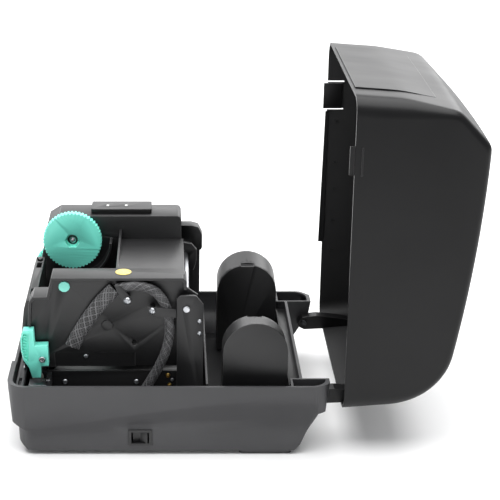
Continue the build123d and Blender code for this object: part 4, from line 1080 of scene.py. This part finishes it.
# each row: the CAD body, the look that its nodes share, and the nodes
PARTS = (
    ("base", Look("grey_housing", HOUSING, HOUSING_EDGE_PAINTED_HIGHLIGHT, Ease.MOULDED), "base_housing"),
    ("base", Look("rubber", RUBBER, None, Ease.MOULDED), "rubber_feet"),
    ("base", GREY, "front_trim"),
    ("base", STEEL_SHEET, "tear_bar catch_bar"),
    ("base", BLACK, "chassis_frame paper_deck media_tray"),
    ("base", Look("mechanism_black", MECHANISM), "media_sensor"),
    ("base", GEAR, "platen_bushings"),
    ("base", Look("motor_black", BLACK_STEEL), "stepper_motor"),
    ("base", BLACK_COVER, "right_pivot_plate left_pivot_plate"),
    ("base", STEEL_PART, "pivot_shaft"),
    ("base", MINT_PART, "latch_catch"),
    ("base", Look("brass", BRASS), "board_standoffs"),
    ("base", Look("board_green", BOARD, None, Ease.SHEET), "main_board"),
    ("base", Look("motor_black", MECHANISM), "power_inlet"),
    ("base", SOCKET, "usb_socket network_socket"),
    ("base", BLACK_TRIM, "switch_body"),
    ("base", Look("steel", BLACK_STEEL), "hinge_pins"),
    ("lid", Look("black_shell", LID, LID_EDGE_PAINTED_HIGHLIGHT), "lid_tabs"),
    ("lid", Look("lens_clear", LENS), "indicator_lens"),
    ("lid", Look("board_green", BOARD), "panel_board"),
    ("feed_button", GREY, "feed_button"),
    ("print_module", BLACK_COVER, "module_frame gear_housing pivot_cover module_nose"),
    ("print_module", BLACK, "housing_block"),
    ("print_module", STEEL_PART, "printhead head_bracket lever_screw"),
    ("print_module", Look("label_yellow", LABEL, None, Ease.SHEET), "spool_disc"),
    ("print_module", Look("clamp_black", MECHANISM, MECHANISM_EDGE_PAINTED_HIGHLIGHT), "harness_clamps"),
    ("release_lever", Look("mint_plastic", MINT, MINT_EDGE_PAINTED_HIGHLIGHT, Ease.MOULDED), "release_lever"),
    ("ribbon_rewind", MINT_PART, "rewind_wheel"),
    ("ribbon_rewind", BLACK, "rewind_spindle"),
    ("ribbon_rewind", GEAR, "rewind_gear"),
    # the ribbon hub takes the paler mint edge copy all over: a painted highlight on the whole hub
    ("rewind_hub", Look("mint_plastic", MINT_EDGE_PAINTED_HIGHLIGHT), "ribbon_hub"),
    ("rewind_idler", Look("mint_plastic", MINT, None, Ease.SHEET), "rewind_idler"),
    ("ribbon_supply", BLACK, "supply_spindle"),
    ("platen", Look("rubber", RUBBER), "platen_roller"),
    ("platen", STEEL_PART, "platen_shaft"),
    ("platen", GEAR, "platen_gear"),
    ("drive_idler", GEAR, "drive_idler"),
    ("motor_rotor", Look("brass", BRASS, None, Ease.SHEET), "motor_pinion"),
    ("holder_right", BLACK_COVER, "media_holder_right"),
    ("holder_left", BLACK_COVER, "media_holder_left"),
    ("holder_pinion", GEAR, "holder_pinion"),
    ("rocker", BLACK_TRIM, "switch_rocker"),
)


# ------------------------------------------------------------------ details
@dataclass
class Fasteners:
    """The screws that show, as one piece for each body and finish."""

    plate: float = 58.0
    clamp: float = 68.8
    chassis: float = 53.0
    bracket: float = 67.5
    wheel: Point = (-62.6, -94.0, 142.0)

    def build(self) -> None:
        """Build the screws."""
        steel, brass = screw_pattern(STEEL, "pan_head_steel"), screw_pattern(BRASS, "pan_head_brass")
        module = [(self.clamp, -37.2, 132.6), (self.clamp, -15.2, 122.8), (self.plate - 2, -76, 72.5)]
        piece = steel.grow("module_screw_heads", module, [1.8, 1.7, 1.15],
                           [(12, 0, 0), (30, 0, 0), (0, 0, 0)])
        settle(piece, "print_module", "steel", "module_screws")
        frame = [(self.chassis, y, 45) for y in (-96, -30, 16)]
        frame += [(self.bracket, 27.5, 112), (self.bracket, 27.5, 100), (self.chassis, 3, 47)]
        piece = steel.grow("frame_screw_heads", frame, [1.3, 1.3, 1.3, 1.1, 1.1, 0.9])
        settle(piece, "base", "steel", "frame_screws")
        terminals = [(self.chassis, -1, 51.5), (self.chassis, 0.5, 41.5)]
        piece = brass.grow("terminal_screw_heads", terminals, [1.2, 1.2], head_height=2.2 * MM)
        settle(piece, "base", "brass")
        hub = steel.grow("wheel_screw_head", [self.wheel], [1.8], [(20, 0, 0)])
        settle(hub, "ribbon_rewind", "steel", "wheel_screw")


@dataclass
class Springs:
    """The three coil springs that press the print head down."""

    places: Sequence[Flat] = ((-32.0, -113.0), (-5.0, -113.0), (22.0, -113.0))

    def build(self) -> None:
        """Build the springs from one coil."""
        pattern = Pattern("coil_spring",
                          {"Coil radius": 3.8 * MM, "Coil height": 20.2 * MM, "Wire radius": 0.55 * MM})
        tree, given = pattern.tree, pattern.given
        coil = add_node(tree, "GeometryNodeCurveSpiral", {"Resolution": 22, "Rotations": 8.0}, {
            "Start Radius": given["Coil radius"], "End Radius": given["Coil radius"],
            "Height": given["Coil height"]})
        ring = add_node(tree, "GeometryNodeCurvePrimitiveCircle", {"Resolution": 8},
                        {"Radius": given["Wire radius"]})
        wire = add_node(tree, "GeometryNodeCurveToMesh", {"Fill Caps": True},
                        {"Curve": coil.outputs[0], "Profile Curve": ring.outputs[0]})
        pattern.repeat(wire.outputs[0], STEEL)
        piece = pattern.grow("head_coil_springs", [(x, y, 65.0) for x, y in self.places])
        settle(piece, "print_module", "steel", "head_springs")


@dataclass
class LeverGrip:
    """Fine ribs in the dished grip of the release lever."""

    face: float = 66.5

    def build(self) -> None:
        """Build the ribs."""
        pattern = bar_pattern(MINT, "grip_rib", (2.0, 3.4, 0.8))
        heights = [74.5 + 2.9 * n for n in range(9)]
        places = [(self.face + 0.6, -130.6 + (0.9 if z < 78 else 0) + (z - 84) ** 2 * 0.002, z)
                  for z in heights]
        settle(pattern.grow("lever_grip_ribs", places), "release_lever", "mint_plastic")


@dataclass
class BoardParts:
    """Rows of pins and small parts on the main board."""

    top: float = 11.0

    def build(self) -> None:
        """Build the chips' pins and the small parts."""
        pins = bar_pattern(STEEL, "chip_pin", (0.5, 1.6, 0.4))
        places = [(-50 + (n - 5) * 1.4, y, self.top + 0.3) for n in range(11) for y in (42.4, 61.6)]
        places += [(40 + (n - 4) * 1.3, y, self.top + 0.3) for n in range(9) for y in (46.4, 61.6)]
        settle(pins.grow("board_pins", places), "base", "steel")
        chips = bar_pattern(EPOXY, "board_chip", (2.4, 1.5, 1.0))
        places = [(-70 + 9 * (n % 16), 44 + 11 * (n // 16) + (n * 7 % 5), self.top + 0.5) for n in range(64)
                  if abs(-70 + 9 * (n % 16) + 50) > 12 and abs(-70 + 9 * (n % 16) - 40) > 10]
        settle(chips.grow("board_small_parts", places), "base", "motor_black")


@dataclass
class PaintedMarks:
    """The two pale marks on the ribbon housing's block."""

    def build(self) -> None:
        """Build the marks as thin raised shapes."""
        pattern = bar_pattern(PAINT, "painted_mark", (4.2, 2.4, 0.35))
        places = [(-82.0, y, 170.35) for y in (-60, -42)]
        settle(pattern.grow("housing_marks", places), "print_module", "gear_white")


# ------------------------------------------------------------------ studio
@dataclass
class Studio:
    """Camera, floor and soft light."""

    camera_place: Point = (1223.8, 0.0, 624.6)
    pitch: float = 21.0
    lens: float = 101.3
    shift: float = 0.162

    def camera(self) -> None:
        """Stand the camera at the printer's right side, looking a little down."""
        data = bpy.data.cameras.new("camera")
        data.lens = self.lens
        data.sensor_width = 36
        data.shift_x = self.shift
        data.clip_end = 50
        camera = shown("camera", data)
        camera.location = Vector(self.camera_place) * MM
        angle = math.radians(self.pitch)
        gaze = Vector((-math.cos(angle), 0, -math.sin(angle)))
        camera.rotation_euler = gaze.to_track_quat("-Z", "Y").to_euler()
        bpy.context.scene.camera = camera

    def floor(self) -> None:
        """Lay the pale floor."""
        ends = ((-9000, -9000, 0), (9000, -9000, 0), (9000, 9000, 0), (-9000, 9000, 0))
        floor = piece_from("floor", ends, [(0, 1, 2, 3)])
        dress(floor, PAPER)

    def soft_box(self, name: str, place: Point, aim: Point, wide: float, deep: float, watts: float) -> None:
        """Hang one soft box.

        Args:
            name: The lamp's name.
            place: Where it hangs, in mm.
            aim: The point that it looks at, in mm.
            wide: Its width, in mm.
            deep: Its other side, in mm.
            watts: Its power.
        """
        data = bpy.data.lights.new(name, "AREA")
        data.shape = "RECTANGLE"
        data.size, data.size_y, data.energy = wide * MM, deep * MM, watts
        lamp = shown(name, data)
        lamp.location = Vector(place) * MM
        lamp.rotation_euler = (Vector(aim) - Vector(place)).to_track_quat("-Z", "Y").to_euler()
        lamp.visible_camera = False

    def build(self) -> None:
        """Build the studio."""
        self.camera()
        self.floor()
        for name, place, aim, wide, deep, watts in (
                ("top_soft_box", (0, 0, 2200), (0, 0, 0), 2600, 2600, 100),
                ("wall_wash", (-3000, 0, 1300), (0, 0, 150), 4200, 2200, 58),
                ("front_fill", (1900, -1300, 700), (0, 0, 100), 1600, 1200, 5),
                ("rear_fill", (-1500, 1500, 1100), (0, 50, 150), 1600, 1200, 14)):
            self.soft_box(name, place, aim, wide, deep, watts)
        world = bpy.data.worlds.new("studio_air")
        world.use_nodes = True
        world.node_tree.nodes.clear()
        air = add_node(world.node_tree, "ShaderNodeBackground",
                       {"Color": linear("#f2f3f5"), "Strength": 0.44})
        add_node(world.node_tree, "ShaderNodeOutputWorld", links={"Surface": air.outputs[0]})
        bpy.context.scene.world = world
        bpy.context.scene.view_settings.view_transform = "Standard"


# ------------------------------------------------------------------ assembly
FRAME: dict = {}


def main() -> None:
    """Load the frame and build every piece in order."""
    logging.basicConfig(level=logging.INFO, format="%(message)s")
    FRAME.update(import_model())
    Studio().build()
    for body, look, nodes in PARTS:
        for node in nodes.split():
            look.build(node, body)
    for group in (Lid(), Harness(), Fasteners(), Springs(), LeverGrip(), BoardParts(), PaintedMarks()):
        LOG.info("building %s", type(group).__name__)
        group.build()


if __name__ == "__main__":
    main()
